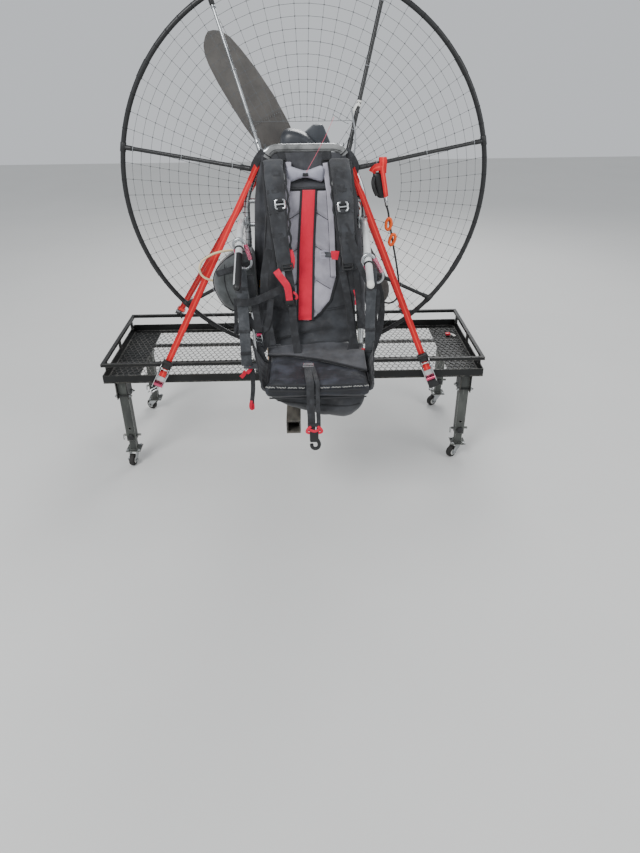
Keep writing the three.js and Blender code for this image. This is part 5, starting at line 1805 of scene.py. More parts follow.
class PARAMOTOR_OT_backrest(bpy.types.Operator):
    """Sews the backrest: its folded shell, mesh panel, red stripe, side bands and top flap"""

    bl_idname = "paramotor.backrest"
    bl_label = "Backrest"

    PANEL_LEFT = ((703, -14), (708, -34), (718, -57), (773, -77), (854, -92), (972, -90), (1130, -73))
    PANEL_RIGHT = ((703, 2), (708, 18), (723, 38), (770, 80), (851, 104), (1002, 95), (1128, 87))
    STRIPE_LEFT = ((704, -36), (939, -26), (1136, -11))
    STRIPE_RIGHT = ((704, 14), (939, 22), (1136, 34))
    SEAM_TOP, SEAM_PITCH = 1078, 112

    def execute(self, context):
        self.shell()
        self.panel()
        self.stripe()
        self.flap()
        return {"FINISHED"}

    def shell(self):
        parts = Solids()
        rings = []
        across = [math.sin(math.pi / 2 * (-1 + 2 * i / 30)) for i in range(31)]
        for z in heights(1139, 547, 7):
            left, right = along_table(BACK_LEFT, z), along_table(BACK_RIGHT, z)
            middle, half = (left + right) / 2, (right - left) / 2
            front = [back_spot(middle + half * s, z) for s in across]
            rear = along_table(BACK_REAR, z)
            back = []
            for s in reversed(across[1:-1]):
                back.append(spot(middle + half * s, rear - 26 * abs(s) ** 7, z))
            rings.append(front + back)
        parts.loft(rings, pack_cloth)
        shell = parts.make("backrest_shell", replaces=["backrest"], crease=180)
        round_edges(shell, 0.006, 3, 50)
        trim = Solids()
        for table, side in ((BACK_LEFT, 1), (BACK_RIGHT, -1)):
            edge = [back_spot(along_table(table, z) + side * 5, z, 1.0) for z in heights(1132, 560, 10)]
            trim.tube(edge, 0.0026, black_thread, sides=8)
        top = [back_spot(x, 1136, 1.5) for x in range(-110, 116, 8)]
        trim.tube(top, 0.0026, black_thread, sides=8)
        for z in (745, 738):
            seam = [back_spot(x, z - 22 * math.cos(x / 60) * 0.4, 0.8) for x in range(-140, 152, 6)]
            trim.tube(seam, 0.0009, black_thread, sides=6)
        trim.make("backrest_piping")

    def quilt(self, x, z, share):
        """Chevron quilting: soft ribs between seams that slope down outwards."""
        off = (z - self.seam_base(x)) % self.SEAM_PITCH
        near = min(off, self.SEAM_PITCH - off)
        rib = 1 - math.exp(-((near / 8) ** 2))
        swell = 6.2 * rib + 1.2 * math.sin(math.pi * off / self.SEAM_PITCH)
        return 2.0 + swell * (1 - abs(2 * share - 1) ** 12)

    def seam_base(self, x):
        return self.SEAM_TOP - abs(x - 6) * 0.6

    def panel(self):
        parts = Solids()
        skin(parts, heights(1130, 704, 4), self.PANEL_LEFT, self.PANEL_RIGHT, self.quilt, spacer_mesh, 36)
        panel = parts.make("backrest_mesh_panel", crease=180)
        trim = Solids()
        for table, side in ((self.PANEL_LEFT, -1), (self.PANEL_RIGHT, 1)):
            edge = [back_spot(along_table(table, z) + side * 2, z, 2.5) for z in heights(1130, 704, 8)]
            path = smooth_path(edge, 0.008)
            trim.sweep(path, round_section(0.009, 0.004), black_thread, FRONT)
        for level in range(-1, 4):
            for side in (-1, 1):
                line = []
                for i in range(19):
                    x = 6 + side * (26 + 76 * i / 18)
                    z = self.seam_base(x) - level * self.SEAM_PITCH
                    left, right = along_table(self.PANEL_LEFT, z) + 4, along_table(self.PANEL_RIGHT, z) - 4
                    if 712 < z < 1126 and left < x < right:
                        line.append(back_spot(x, z, 2.6))
                if len(line) > 3:
                    trim.tube(line, 0.0011, black_thread, sides=6)
        trim.make("panel_piping")
        bands = Solids()
        for top, table in (
            ([(-55, -299, 1217), (-57, -316, 1180), (-60, -334, 1150)],
             ((939, -62), (1037, -74), (1134, -62))),
            ([(69, -302, 1213), (73, -318, 1178), (77, -335, 1148)], ((851, 92), (1002, 88), (1132, 80))),
        ):
            low = table[0][0]
            run = [back_spot(along_table(table, z), z, 10) for z in heights(1130, low, 20)]
            path = smooth_path(spots(top) + run, 0.008)
            bands.sweep(path, round_section(0.019, 0.009), spacer_mesh, Vector((0, -1, 0.1)))
            for side in (-1, 1):
                edge = [point + Vector((side * 0.0098, 0.001, 0)) for point in path]
                bands.tube(edge, 0.0014, black_thread, sides=6)
        band = bands.make("backrest_side_bands", crease=180)

    def stripe(self):
        parts = Solids()

        def lift(x, z, share):
            return 10.2 + crown(share, 1.4, 4) + 0.5 * ripple(x * 0.05, z * 0.05, 0.0)

        skin(parts, heights(1134, 706, 6), self.STRIPE_LEFT, self.STRIPE_RIGHT, lift, red_cloth, 10,
             under=3.0)
        for table, side in ((self.STRIPE_LEFT, -1), (self.STRIPE_RIGHT, 1)):
            inner = tuple((z, x - 4 + side * 2.5) for z, x in table)
            outer = tuple((z, x + 4 + side * 2.5) for z, x in table)
            skin(parts, heights(1134, 706, 6), inner, outer, lambda x, z, s: 11.2 + crown(s, 1.0, 2),
                 black_thread, 3, under=3.0)
        parts.make("backrest_red_stripe", crease=60)

    def flap(self):
        """The black flap that comes over the top behind the headrest, with its two small buckles."""
        parts = Solids()
        rings = []
        for z in heights(1243, 1118, 5):
            half = 62 + 3 * math.sin(z / 17) + 66 * max(0.0, (z - 1180) / 47) ** 0.6
            front, back = [], []
            for i in range(25):
                s = -1 + i / 12
                wave = 2.5 * ripple(s * 3, z * 0.05, 9.1) + 2 * math.cos(s * 9) * (z - 1118) / 110
                y = -283 - 7 * (1 - s ** 6) + wave + 8 * max(0.0, (z - 1205) / 38)
                front.append(spot(half * s, y, z + 3 * math.cos(s * 2)))
                back.append(spot(half * -s, -274 + wave * 0.3, z + 3 * math.cos(s * 2)))
            rings.append(front + back)
        parts.loft(rings, yoke_cloth)
        flap = parts.make("backrest_flap", crease=180)
        fittings = Solids()
        for x in (-76, 72):
            buckle_at(fittings, spot(x, -290, 1213), Vector((1, 0, 0.1)), UP, 0.026, 0.018, black_plastic)
            fittings.strap(spots([(x - 4, -288, 1206), (x, -288, 1226), (x * 1.04, -286, 1240),
                                  (x * 1.06, -276, 1250)]), 0.026,
                           black_web, facing=FRONT)
        for side in (-1, 1):
            x = side * 150
            loop = spots([(x * 0.92, -263, 1248), (x * 1.06, -272, 1226), (x * 1.16, -270, 1196),
                          (x * 1.12, -264, 1172)])
            fittings.strap(loop, 0.026, black_web, facing=Vector((side * 0.3, -1, 0)))
        gusset = spots([(4, -318, 1131), (4, -322, 1142), (4, -308, 1158), (4, -292, 1176)])
        fittings.strap(gusset, 0.128, yoke_cloth, facing=Vector((0, -0.6, 0.8)))
        fittings.box(back_spot(12, 1131, 6), (0.011, 0.002, 0.006), white_thread, round_by=0.0004)
        fittings.make("flap_fittings")


def buckle_at(parts, centre, across, along, width, height, finish, bars=1, wire=0.0022):
    """A ladder buckle: a rounded frame with cross bars."""
    across = across.normalized()
    along = (along - across * along.dot(across)).normalized()
    out = across.cross(along)
    corners = [centre + across * a * width / 2 + along * b * height / 2
               for a, b in ((-1, -1), (1, -1), (1, 1), (-1, 1))]
    path = []
    for i, corner in enumerate(corners):
        before, after = corners[i - 1], corners[(i + 1) % 4]
        cut = min(width, height) * 0.18
        first = corner.lerp(before, cut / (before - corner).length)
        last = corner.lerp(after, cut / (after - corner).length)
        path += [first, corner * 0.6 + (first + last) * 0.2, last]
    parts.sweep(path, round_section(wire * 2, wire * 1.6, 2), finish, facing=out, closed=True)
    for i in range(bars):
        level = along * height * ((i + 1) / (bars + 1) - 0.5)
        parts.rod(centre + level - across * width * 0.48, centre + level + across * width * 0.48, wire,
                  finish, sides=10)


class PARAMOTOR_OT_headrest(bpy.types.Operator):
    """Makes the bow-tie headrest and the foam-sleeved handle over the frame"""

    bl_idname = "paramotor.headrest"
    bl_label = "Headrest and top handle"

    def execute(self, context):
        self.headrest()
        self.handle()
        return {"FINISHED"}

    def headrest(self):
        parts = Solids()
        rings = []
        for i in range(29):
            s = -1 + i / 14
            x = 66 * s
            top = 1193 + 24 * abs(s) ** 1.5 - 6 * max(0, abs(s) - 0.9) / 0.1
            bottom = 1171 - 24 * abs(s) ** 1.5 + 4 * max(0, abs(s) - 0.9) / 0.1
            end = math.sqrt(max(0.06, 1 - abs(s) ** 8))
            middle, half = (top + bottom) / 2, (top - bottom) / 2 * end
            ring = []
            for j in range(24):
                angle = 2 * math.pi * j / 24
                c, v = math.cos(angle), math.sin(angle)
                y = -315 + 17 * end * squared(c, 0.7)
                ring.append(spot(x, y, middle + half * squared(v, 0.7)))
            rings.append(ring)
        parts.loft(rings, grey_cloth)
        pad = parts.make("headrest_pad", replaces=["headrest"], crease=180)
        inflate(pad, 0.004, 0.003)
        trim = Solids()
        trim.sweep(smooth_path(spots([(-8, -333.5, 1183), (0, -334, 1182), (10, -333.5, 1183)]), 0.006),
                   round_section(0.011, 0.004), black_thread, FRONT)
        trim.make("headrest_bar")

    def handle(self):
        parts = Solids()
        y, z = FRAME_Y - 24.4, 1258
        path = bent(spots([(-128, y, z - 30), (-120, y, z - 14), (-102, y, z), (102, y, z), (126, y, z - 8),
                           (136, y, z - 22)]), 0.02, 0.004)
        path = smooth_path(path, 0.004)

        def sleeve(share):
            return 0.98 + 0.02 * math.sin(share * 60) + 0.035 * ripple(share * 34, 0.5, 0)

        parts.tube(path, 0.0128, handle_foam, sides=24, scale=sleeve)
        for point, way in ((path[2], path[3] - path[2]), (path[-3], path[-3] - path[-4])):
            aside = way.orthogonal().normalized()
            ring = ring_path(point, aside * 0.0132, way.normalized().cross(aside) * 0.0132, count=24)
            parts.tube(ring, 0.0018, black_thread, sides=6, closed=True)
        seam = [p + Vector((0, -0.0125, -0.003)) for p in path[4:-4]]
        parts.tube(seam, 0.0008, black_thread, sides=6)
        made = parts.make("handle_sleeve", replaces=["top_handle"], crease=60)


class PARAMOTOR_OT_shoulder_straps(bpy.types.Operator):
    """Sews the two shoulder straps: padded fronts, webbing, ladder buckles, pull loops and lower webbing"""

    bl_idname = "paramotor.shoulder_straps"
    bl_label = "Shoulder straps"

    TOP_Z = 1210
    LEAN = -0.092
    PAD = ((-266, -4), (-282, 5), (-304, 3), (-346, -18), (-372, -58), (-393, -104), (-414, -156),
           (-428, -210), (-434, -250), (-434, -284), (-425, -326))
    LOWER = ((-428, -318), (-440, -372), (-446, -430), (-458, -486), (-474, -542), (-500, -608))
    STRAPS = (
        # side, x at the top, half the pad's width, the webbing's place off its middle, z of its buckle
        ("left", -105, 36, 10, 1098),
        ("right", 117, 36, -6, 1088),
    )

    def place(self, x, across, y, dz, lift=0.0):
        c, s = math.cos(self.LEAN), math.sin(self.LEAN)
        return spot(x + across * c + dz * s, y - lift * 0.94, self.TOP_Z - across * s + dz * c + lift * 0.3)

    def execute(self, context):
        for side, x, half, off, buckle_z in self.STRAPS:
            self.pad(side, x, half)
            self.webbing(side, x + off, half, off / 1000, buckle_z)
        self.loops()
        return {"FINISHED"}

    def pad(self, side, x, half):
        parts = Solids()
        path = smooth_path([self.place(x, 0, y, dz) for y, dz in self.PAD], 0.008)
        outer = -1 if side == "left" else 1

        def width(share):
            taper = 1.0 - 0.30 * max(0.0, share - 0.45) / 0.55
            return (taper, 1.0 + 0.12 * math.sin(share * 31))

        facing = [self.outward(path, i) for i in range(len(path))]
        parts.sweep(path, round_section(2 * half / 1000, 0.0155, 5), pack_cloth, facing, scale=width)
        pad = parts.make(f"shoulder_pad_{side}", replaces=[f"shoulder_strap_{side}"],
                         crease=180)
        inflate(pad, 0.005, 0.004)
        trim = Solids()
        for sign in (-1, 1):
            edge = []
            for i, point in enumerate(path[2:-2]):
                share = (i + 2) / (len(path) - 1)
                out = facing[i + 2]
                way = tangents(path)[i + 2]
                ruffle = 2.5 * math.sin(i * 1.1) if sign == outer and share > 0.3 else 0.0
                edge.append(point + way.cross(out).normalized() * sign
                            * (half * width(share)[0] + 1.2 + ruffle) / 1000 + out * 0.001)
            trim.sweep(smooth_path(edge, 0.006), round_section(0.007, 0.004), black_thread,
                       Vector((0, -1, 0.2)))
        trim.make(f"shoulder_piping_{side}")

    def outward(self, path, i):
        way = tangents(path)[i]
        out = Vector((0, way.z, -way.y))
        return out if out.y < 0 or (abs(out.y) < 0.4 and out.z > 0) else -out

    def webbing(self, side, x, half, off, buckle_z):
        parts = Solids()
        path = smooth_path([self.place(x, 0, y, dz, 10.5) for y, dz in self.PAD[1:]], 0.008)
        facing = [self.outward(path, i) for i in range(len(path))]
        parts.sweep(path, flat_section(0.027, 0.0018), black_web, facing)
        low = smooth_path([self.place(x + 3 * math.sin(i * 1.3), 0, y, dz)
                           for i, (y, dz) in enumerate(self.LOWER)], 0.008)
        parts.sweep(low, flat_section(0.027, 0.0022), black_web, FRONT)
        ahead = Vector((0, -0.30, -0.95))
        y = along_table(tuple(sorted((dz + self.TOP_Z, y) for y, dz in self.PAD)), buckle_z)
        centre = self.place(x, 0, y, buckle_z - self.TOP_Z, 19)
        buckle_at(parts, centre, Vector((1, 0, 0.09)), ahead, 0.031, 0.027, buckle_metal, bars=1,
                  wire=0.0030)
        for level in (-0.0135, 0.0135):
            wrap = centre + Vector((0, 0.3, 0.95)) * -level
            parts.strap([wrap + Vector((0, 0.004, 0.005)), wrap + Vector((0, -0.0036, 0.001)),
                         wrap + Vector((0, -0.0026, -0.005)), wrap + Vector((0, 0.004, -0.007))], 0.017,
                        black_web, step=0.003)
        tail = [centre + Vector((0.001, 0.004, -0.010)), centre + Vector((0.004, -0.004, -0.028)),
                centre + Vector((0.010, -0.010, -0.075)), centre + Vector((0.013, -0.014, -0.12))]
        parts.strap(tail, 0.024, black_web)
        buckle = self.place(x, 0, -436, -306, 7)
        buckle_at(parts, buckle, Vector((1, 0, 0.09)), ahead, 0.034, 0.030, black_plastic, bars=2,
                  wire=0.0024)
        for share in (0.34, 0.52, 0.7):
            i = round(share * (len(path) - 1))
            way = tangents(path)[i]
            across = way.cross(facing[i]).normalized() * half / 1000 * 0.8
            middle = path[i] - Vector((off, 0, 0))
            line = [middle - across - facing[i] * 0.004, middle + facing[i] * 0.0016,
                    middle + across - facing[i] * 0.004]
            parts.strap(line, 0.012, black_web, facing=facing[i], step=0.006)
        parts.make(f"shoulder_webbing_{side}")

    def loops(self):
        """Pull loops of red tape, chest buckles and cross straps on the front of the harness."""
        parts = Solids()
        tapes = (
            # points, width
            ([(-61, -430, 974), (-52, -438, 952), (-47, -440, 926), (-51, -439, 899)], 0.014),
            ([(-106, -444, 893), (-95, -452, 878), (-81, -457, 860), (-68, -461, 838), (-63, -461, 792)],
             0.024),
            ([(-50, -452, 818), (-40, -457, 812), (-36, -457, 800), (-42, -455, 794)], 0.008),
            ([(83, -441, 941), (95, -445, 942), (107, -442, 940)], 0.030),
            ([(165, -446, 822), (172, -452, 796), (172, -450, 768)], 0.014),
        )
        for points, width in tapes:
            parts.strap(spots(points), width, pink_web, step=0.006)
        buckle_at(parts, spot(58, -432, 941), RIGHT, UP, 0.024, 0.024, grey_cloth, bars=1)
        parts.strap(spots([(62, -432, 941), (72, -437, 942), (84, -440, 941)]), 0.018, grey_web)
        parts.box(spot(-62, -456, 784), (0.030, 0.010, 0.020), black_plastic, round_by=0.002)
        lines = (
            # points, width
            ([(-92, -450, 828), (-136, -474, 815), (-186, -506, 806), (-222, -510, 804), (-240, -506, 806)],
             0.027),
            ([(124, -430, 1040), (150, -444, 985), (178, -466, 920), (206, -492, 868), (216, -498, 850)],
             0.027),
            ([(214, -500, 870), (205, -506, 820), (214, -506, 770), (226, -508, 740)], 0.024),
            ([(220, -500, 866), (236, -504, 826), (236, -504, 780), (228, -508, 745)], 0.020),
            ([(122, -438, 884), (138, -452, 800), (150, -466, 720), (157, -480, 655), (146, -500, 606)],
             0.024),
            ([(168, -430, 900), (172, -446, 830), (184, -464, 752), (206, -492, 700), (226, -508, 660)],
             0.020),
            ([(-128, -420, 960), (-146, -440, 880), (-150, -460, 800), (-140, -476, 720),
              (-128, -492, 640)], 0.026),
            ([(-232, -478, 800), (-206, -486, 740), (-176, -492, 700), (-150, -486, 700), (-136, -478, 740),
              (-128, -470, 800)], 0.022),
        )
        for points, width in lines:
            parts.strap(spots(points), width, black_web)
        parts.make("harness_loops")


class PARAMOTOR_OT_seat(bpy.types.Operator):
    """Sews the seat cushion, the bag under it and the strap over its front"""

    bl_idname = "paramotor.seat"
    bl_label = "Seat"

    LOW, HIGH = (-140, -722, 540), (198, -474, 599)
    BAG = ((-132, 539), (-131, 528), (-118, 514), (-92, 497), (-60, 480), (-20, 466), (20, 453), (50, 444),
           (86, 436), (120, 433), (146, 440), (168, 456), (182, 480), (190, 507), (190, 539))

    def execute(self, context):
        self.cushion()
        self.skirt()
        self.bag()
        self.strap()
        return {"FINISHED"}

    def cushion(self):
        parts = Solids()
        rings = []
        (x0, y0, z0), (x1, y1, z1) = self.LOW, self.HIGH
        for i in range(57):
            s = -1 + i / 28
            end = max(0.0, 1 - abs(s) ** 9) ** 0.35
            end = 0.45 + 0.55 * end
            x = (x0 + x1) / 2 + (x1 - x0) / 2 * s
            ring = []
            for j in range(64):
                angle = 2 * math.pi * j / 64
                c, v = math.cos(angle), math.sin(angle)
                a, b = squared(c, 0.35), squared(v, 0.45)
                y = (y0 + y1) / 2 + (y1 - y0) / 2 * a * (0.97 + 0.03 * end)
                z = (z0 + z1) / 2 + (z1 - z0) / 2 * b * end
                fold = ripple(x * 0.014, y * 0.04, 3.3) * 4.5 + ripple(x * 0.045, y * 0.05, 8.3) * 2
                dip = 11 * (1 - s * s) * (1 - a * a)
                if b > 0:
                    z += (fold - dip) * b
                x_here = x + (12 if s < 0 else 5) * s * max(0.0, -a) ** 3
                ring.append(spot(x_here, y, z))
            rings.append(ring)
        parts.loft(rings, seat_vinyl)
        pad = parts.make("seat_pad", replaces=["seat_cushion"], crease=180)
        inflate(pad, 0.006, 0.004)
        trim = Solids()
        for z, y in ((596, -722.5), (577, -725.5), (549, -723.5)):
            line = []
            for i in range(60):
                x = -134 + 322 * i / 59
                bow = 7 * math.sin(math.pi * i / 59)
                line.append(spot(x, y - 1.0, z - bow * 0.6))
            trim.tube(line, 0.0028 if z < 590 else 0.002, black_thread, sides=8)
        for i in range(66):
            if i % 7 == 6 or 24 < i < 32:
                continue
            x = -142 + 334 * i / 65
            jitter = ripple(x * 0.11, 0, 0)
            z = 590 - 5.0 * math.sin(math.pi * i / 65) + 2.5 * jitter
            turn = Quaternion(REAR, math.radians((50 if i % 2 else -50) + 30 * jitter))
            trim.box(spot(x, -726.5, z), (0.0050, 0.0012, 0.0011), white_thread, turn=turn, round_by=0)
        for side in (-1, 1):
            x = (x0 + x1) / 2 + side * (x1 - x0) / 2
            edge = spots([(x, -488, 592), (x, -560, 594), (x, -640, 594), (x, -700, 592)])
            trim.tube(smooth_path(edge, 0.01), 0.0028, black_thread, sides=8)
        trim.make("seat_piping")

    def skirt(self):
        """The backrest's cloth where it spreads over the rear of the seat, further forward on the right."""
        edge = ((-146, -496), (-113, -504), (-67, -506), (39, -545), (120, -592), (163, -620), (196, -640))
        parts = Solids()
        rings = []
        for i in range(45):
            x = -146 + 342 * i / 44
            front = along_table(edge, x)
            top, under = [], []
            for j in range(19):
                s = j / 18
                y = -452 + (front + 452) * s
                fold = 5 * math.sin(s * 9 + x * 0.02) * (1 - s) + 4 * ripple(x * 0.02, y * 0.03, 4.4)
                z = 606 + 20 * (1 - s) ** 2 + max(0.0, fold + 3) * (1 - s ** 3)
                top.append(spot(x, y, z))
                under.append(spot(x, y, 597))
            rings.append(top + under[::-1])
        parts.loft(rings, yoke_cloth)
        skirt = parts.make("seat_skirt", crease=180)
        trim = Solids()
        line = smooth_path([spot(x, y - 1, 604) for x, y in edge], 0.01)
        trim.tube(line, 0.0032, black_thread, sides=8)
        trim.make("seat_skirt_piping")

    def bag(self):
        parts = Solids()
        rings = []
        top = 538
        for i in range(25):
            s = -1 + i / 12
            y = -596 + 96 * s
            drop = (1 - abs(s) ** 3.5) ** 0.5 if abs(s) < 1 else 0.0
            drop = 0.30 + 0.70 * drop
            lower = []
            for j in range(45):
                t = j / 44
                x = -132 + 322 * t
                z = along_table(tuple((px, pz) for px, pz in self.BAG[1:-1]), x)
                fold = 6 * ripple(x * 0.02, y * 0.02, 5.5) + 3 * ripple(x * 0.06, y * 0.03, 1.5)
                lower.append(spot(x + 2 * math.sin(y * 0.05), y, top - (top - z + fold) * drop))
            upper = [spot(190 - 322 * j / 20, y, top) for j in range(21)]
            rings.append(lower + upper)
        parts.loft(rings, pack_cloth)
        bag = parts.make("seat_bag_cloth", replaces=["seat_bag"], crease=180)
        inflate(bag, 0.006, 0.004)
        trim = Solids()
        rim = [spot(x, -690, along_table(tuple((px, pz) for px, pz in self.BAG[1:-1]), x) * 0.35
                    + 538 * 0.65 - 6) for x in range(-110, 171, 10)]
        trim.tube(rim, 0.0022, black_thread, sides=8)
        trim.make("seat_bag_trim")

    SEAT_EDGE_Z = 0.583

    def strap(self):
        """Two bands from a metal loop over the seat's front, hanging with red loops and a black hook."""
        parts = Solids()
        hanging = []
        for name, x, lean, width in (("broad", -3, 5, 0.026), ("narrow", 18, 8, 0.014)):
            line = ((x * 0.7 - 1, -604, 607), (x, -650, 604), (x + lean * 0.4, -700, 606),
                    (x + lean, -726, 600), (x + lean, -733, 582), (x + lean, -733, 520),
                    (x + lean + 2, -732, 470), (x + lean + 1, -732, 424))
            path = smooth_path(spots(line), 0.01)
            edge = next(i for i, point in enumerate(path) if point.z < self.SEAT_EDGE_Z)
            section = flat_section(width, 0.002)
            facing = Vector((0, -0.7, 0.7))
            parts.sweep(path[:edge + 1], section, black_web, facing)
            band = Solids()
            band.sweep(path[edge:], section, black_web, facing)
            hanging.append((band.make(f"seat_strap_{name}_end"), path[edge:], width))
        buckle_at(parts, spot(-3, -600, 609), RIGHT, Vector((0, 1, 0.2)), 0.036, 0.018, buckle_metal,
                  wire=0.0022)
        parts.box(spot(14, -733, 448), (0.042, 0.008, 0.012), black_web, round_by=0.002)
        parts.make("seat_strap_webbing", replaces=["seat_strap"])
        hook = Solids()
        for x, side in ((2, -1), (24, 1)):
            loop = spots([(x, -736, 444), (x + side * 12, -740, 436), (x + side * 14, -740, 424),
                          (x + side * 2, -738, 420), (x, -737, 434)])
            hook.strap(loop, 0.009, pink_web, step=0.004)
        hook.strap(spots([(-4, -738, 432), (14, -741, 428), (30, -738, 434)]), 0.010, pink_web, step=0.005)
        hook.box(spot(12, -735, 406), (0.030, 0.014, 0.040), black_plastic, round_by=0.004)
        hook.rod(spot(-2, -735, 390), spot(26, -735, 390), 0.0075, black_plastic)
        path = smooth_path(spots([(23, -735, 392), (29, -737, 376), (26, -737, 362), (15, -736, 356),
                                  (5, -736, 362), (3, -736, 374)]), 0.004)
        hook.tube(path, 0.0062, black_plastic, sides=14)
        fitting = hook.make("seat_strap_hook")
        for made, path, width in hanging:
            way_length(path)


class PARAMOTOR_OT_side_cloth(bpy.types.Operator):
    """Sews the cloth that covers the frame beside the backrest, and the wings beside the seat"""

    bl_idname = "paramotor.side_cloth"
    bl_label = "Side cloth"

    COVERS = (
        # side, (height, inner x, outer x) from the top down
        ("left", ((1238, -112, -146), (1180, -116, -164), (1090, -124, -178), (960, -132, -186),
                  (840, -138, -194), (700, -140, -200), (606, -140, -190))),
        ("right", ((1238, 112, 138), (1180, 122, 158), (1090, 132, 184), (960, 142, 200), (840, 152, 208),
                   (780, 178, 216), (610, 190, 222))),
    )
    WINGS = (
        # side, x of the seat's edge, outer x at the rear and at the front
        ("left", -141, -204, -158),
        ("right", 199, 236, 208),
    )

    def execute(self, context):
        for side, rows in self.COVERS:
            self.cover(side, rows)
        for side, inner, rear, front in self.WINGS:
            self.wing(side, inner, rear, front)
        return {"FINISHED"}

    def cover(self, side, rows):
        parts = Solids()
        inner = tuple((z, x) for z, x, _ in reversed(rows))
        outer = tuple((z, x) for z, _, x in reversed(rows))
        rings = []
        for z in heights(rows[0][0], rows[-1][0], 8):
            low, high = along_table(inner, z), along_table(outer, z)
            front, back = [], []
            for i in range(17):
                s = i / 16
                x = low + (high - low) * s
                fold = 4 * ripple(x * 0.05, z * 0.012, 3.0) + 2 * ripple(x * 0.11, z * 0.03, 6.0)
                y = -268 - 10 * (1 - abs(2 * s - 1) ** 4) + fold
                front.append(spot(x, y, z))
                back.append(spot(high + low - x, -264, z))
            rings.append(front + back)
        parts.loft(rings, yoke_cloth)
        made = parts.make(f"frame_cover_{side}", crease=180)

    def wing(self, side, inner, rear, front):
        parts = Solids()
        rings = []
        for i in range(31):
            t = i / 30
            y = -492 - 226 * t
            top_x, top_z = rear + (front - rear) * t ** 0.8, 604 + 62 * (1 - t) ** 1.4
            low = spot(inner, y, 566)
            top = spot(top_x, y, top_z)
            out, back = [], []
            for j in range(13):
                s = j / 12
                bulge = math.sin(math.pi * s) * 9 + 3 * ripple(t * 9, s * 3, inner * 0.1)
                sign = -1 if inner < 0 else 1
                point = low.lerp(top, s) + Vector((sign * bulge / 1000, 0, -bulge / 2000))
                out.append(point)
                back.append(point + Vector((-sign * 0.003, 0, 0.0025)))
            rings.append(out + back[::-1])
        parts.loft(rings, pack_cloth)
        edge = [ring[12] for ring in rings]
        parts.tube(edge, 0.003, black_thread, sides=8)
        parts.make(f"seat_wing_{side}", crease=80)


class PARAMOTOR_OT_side_straps(bpy.types.Operator):
    """Makes the webbing from the arms to the seat, leg straps with buckles and hanging tabs"""

    bl_idname = "paramotor.side_straps"
    bl_label = "Side and leg straps"

    STRAPS = (
        # side, x of the left and right edge, x of the seat's side, y and z of its top
        ("left", -240, -202, -140.3, -500, 915.2),
        ("right", 198, 232, 198.3, -507, 911.6),
    )

    def execute(self, context):
        for name, x0, x1, seat_x, y, z in self.STRAPS:
            parts = Solids()
            middle = (x0 + x1) / 2
            points = [(middle, y, z), (middle + 1, y - 1, 860), (middle - 1, y - 3, 760),
                      (middle, (y - 523) / 2, 660), (middle, -520, 574)]
            parts.strap(spots(points), (x1 - x0) / 1000, grey_web, thick=0.0036)
            parts.box(spot((seat_x + middle) / 2, -520, 572.5), (abs(seat_x - middle) / 1000 + 0.02, 0.038,
                                                                 0.004), grey_web, round_by=0.001)
            for level in (620, 700, 850):
                y_here = float(np.interp(level, (574, 760, 915), (-520, y - 3, y)))
                parts.box(spot(middle, y_here - 2.4, level), ((x1 - x0) / 1000 + 0.003, 0.0016, 0.012),
                          black_web, round_by=0.0004)
            parts.make(f"side_webbing_{name}", replaces=[f"side_strap_{name}"])
        self.leg_straps()
        return {"FINISHED"}

    def leg_straps(self):
        parts = Solids()
        lines = (
            ([(-196, -478, 890), (-188, -484, 820), (-178, -492, 750), (-173, -496, 690)], 0.024),
            ([(-173, -498, 642), (-168, -506, 610), (-156, -520, 588)], 0.024),
            ([(-173, -489, 700), (-170, -490, 660), (-168, -496, 630)], 0.034),
            ([(-150, -470, 760), (-146, -480, 700), (-150, -492, 650), (-164, -500, 620)], 0.022),
            ([(222, -470, 888), (246, -462, 830), (258, -462, 760), (252, -474, 690), (228, -500, 620),
              (206, -520, 588)], 0.024),
            ([(214, -458, 900), (226, -440, 800), (238, -436, 700), (226, -452, 640), (204, -490, 600)],
             0.020),
            ([(-232, -386, 960), (-236, -394, 900), (-234, -398, 820), (-238, -396, 730)], 0.020),
        )
        for line, width in lines:
            parts.strap(spots(line), width, black_web)
        buckle_at(parts, spot(-173, -499, 662), Vector((0.8, -0.6, 0.05)), Vector((0.1, -0.1, 1)), 0.028,
                  0.044, buckle_metal, bars=2, wire=0.0022)
        parts.box(spot(-172, -503, 684), (0.018, 0.006, 0.012), pink_metal, round_by=0.002)
        for x, y, z in ((-226, -526, 556), (-204, -526, 572)):
            parts.strap(spots([(x, y, z), (x - 8, y - 6, z - 12), (x - 18, y - 4, z - 22)]), 0.014,
                        pink_web, step=0.006)
        parts.box(spot(195, -500, 617), (0.014, 0.010, 0.014), red_plastic, round_by=0.003)
        parts.make("leg_straps")


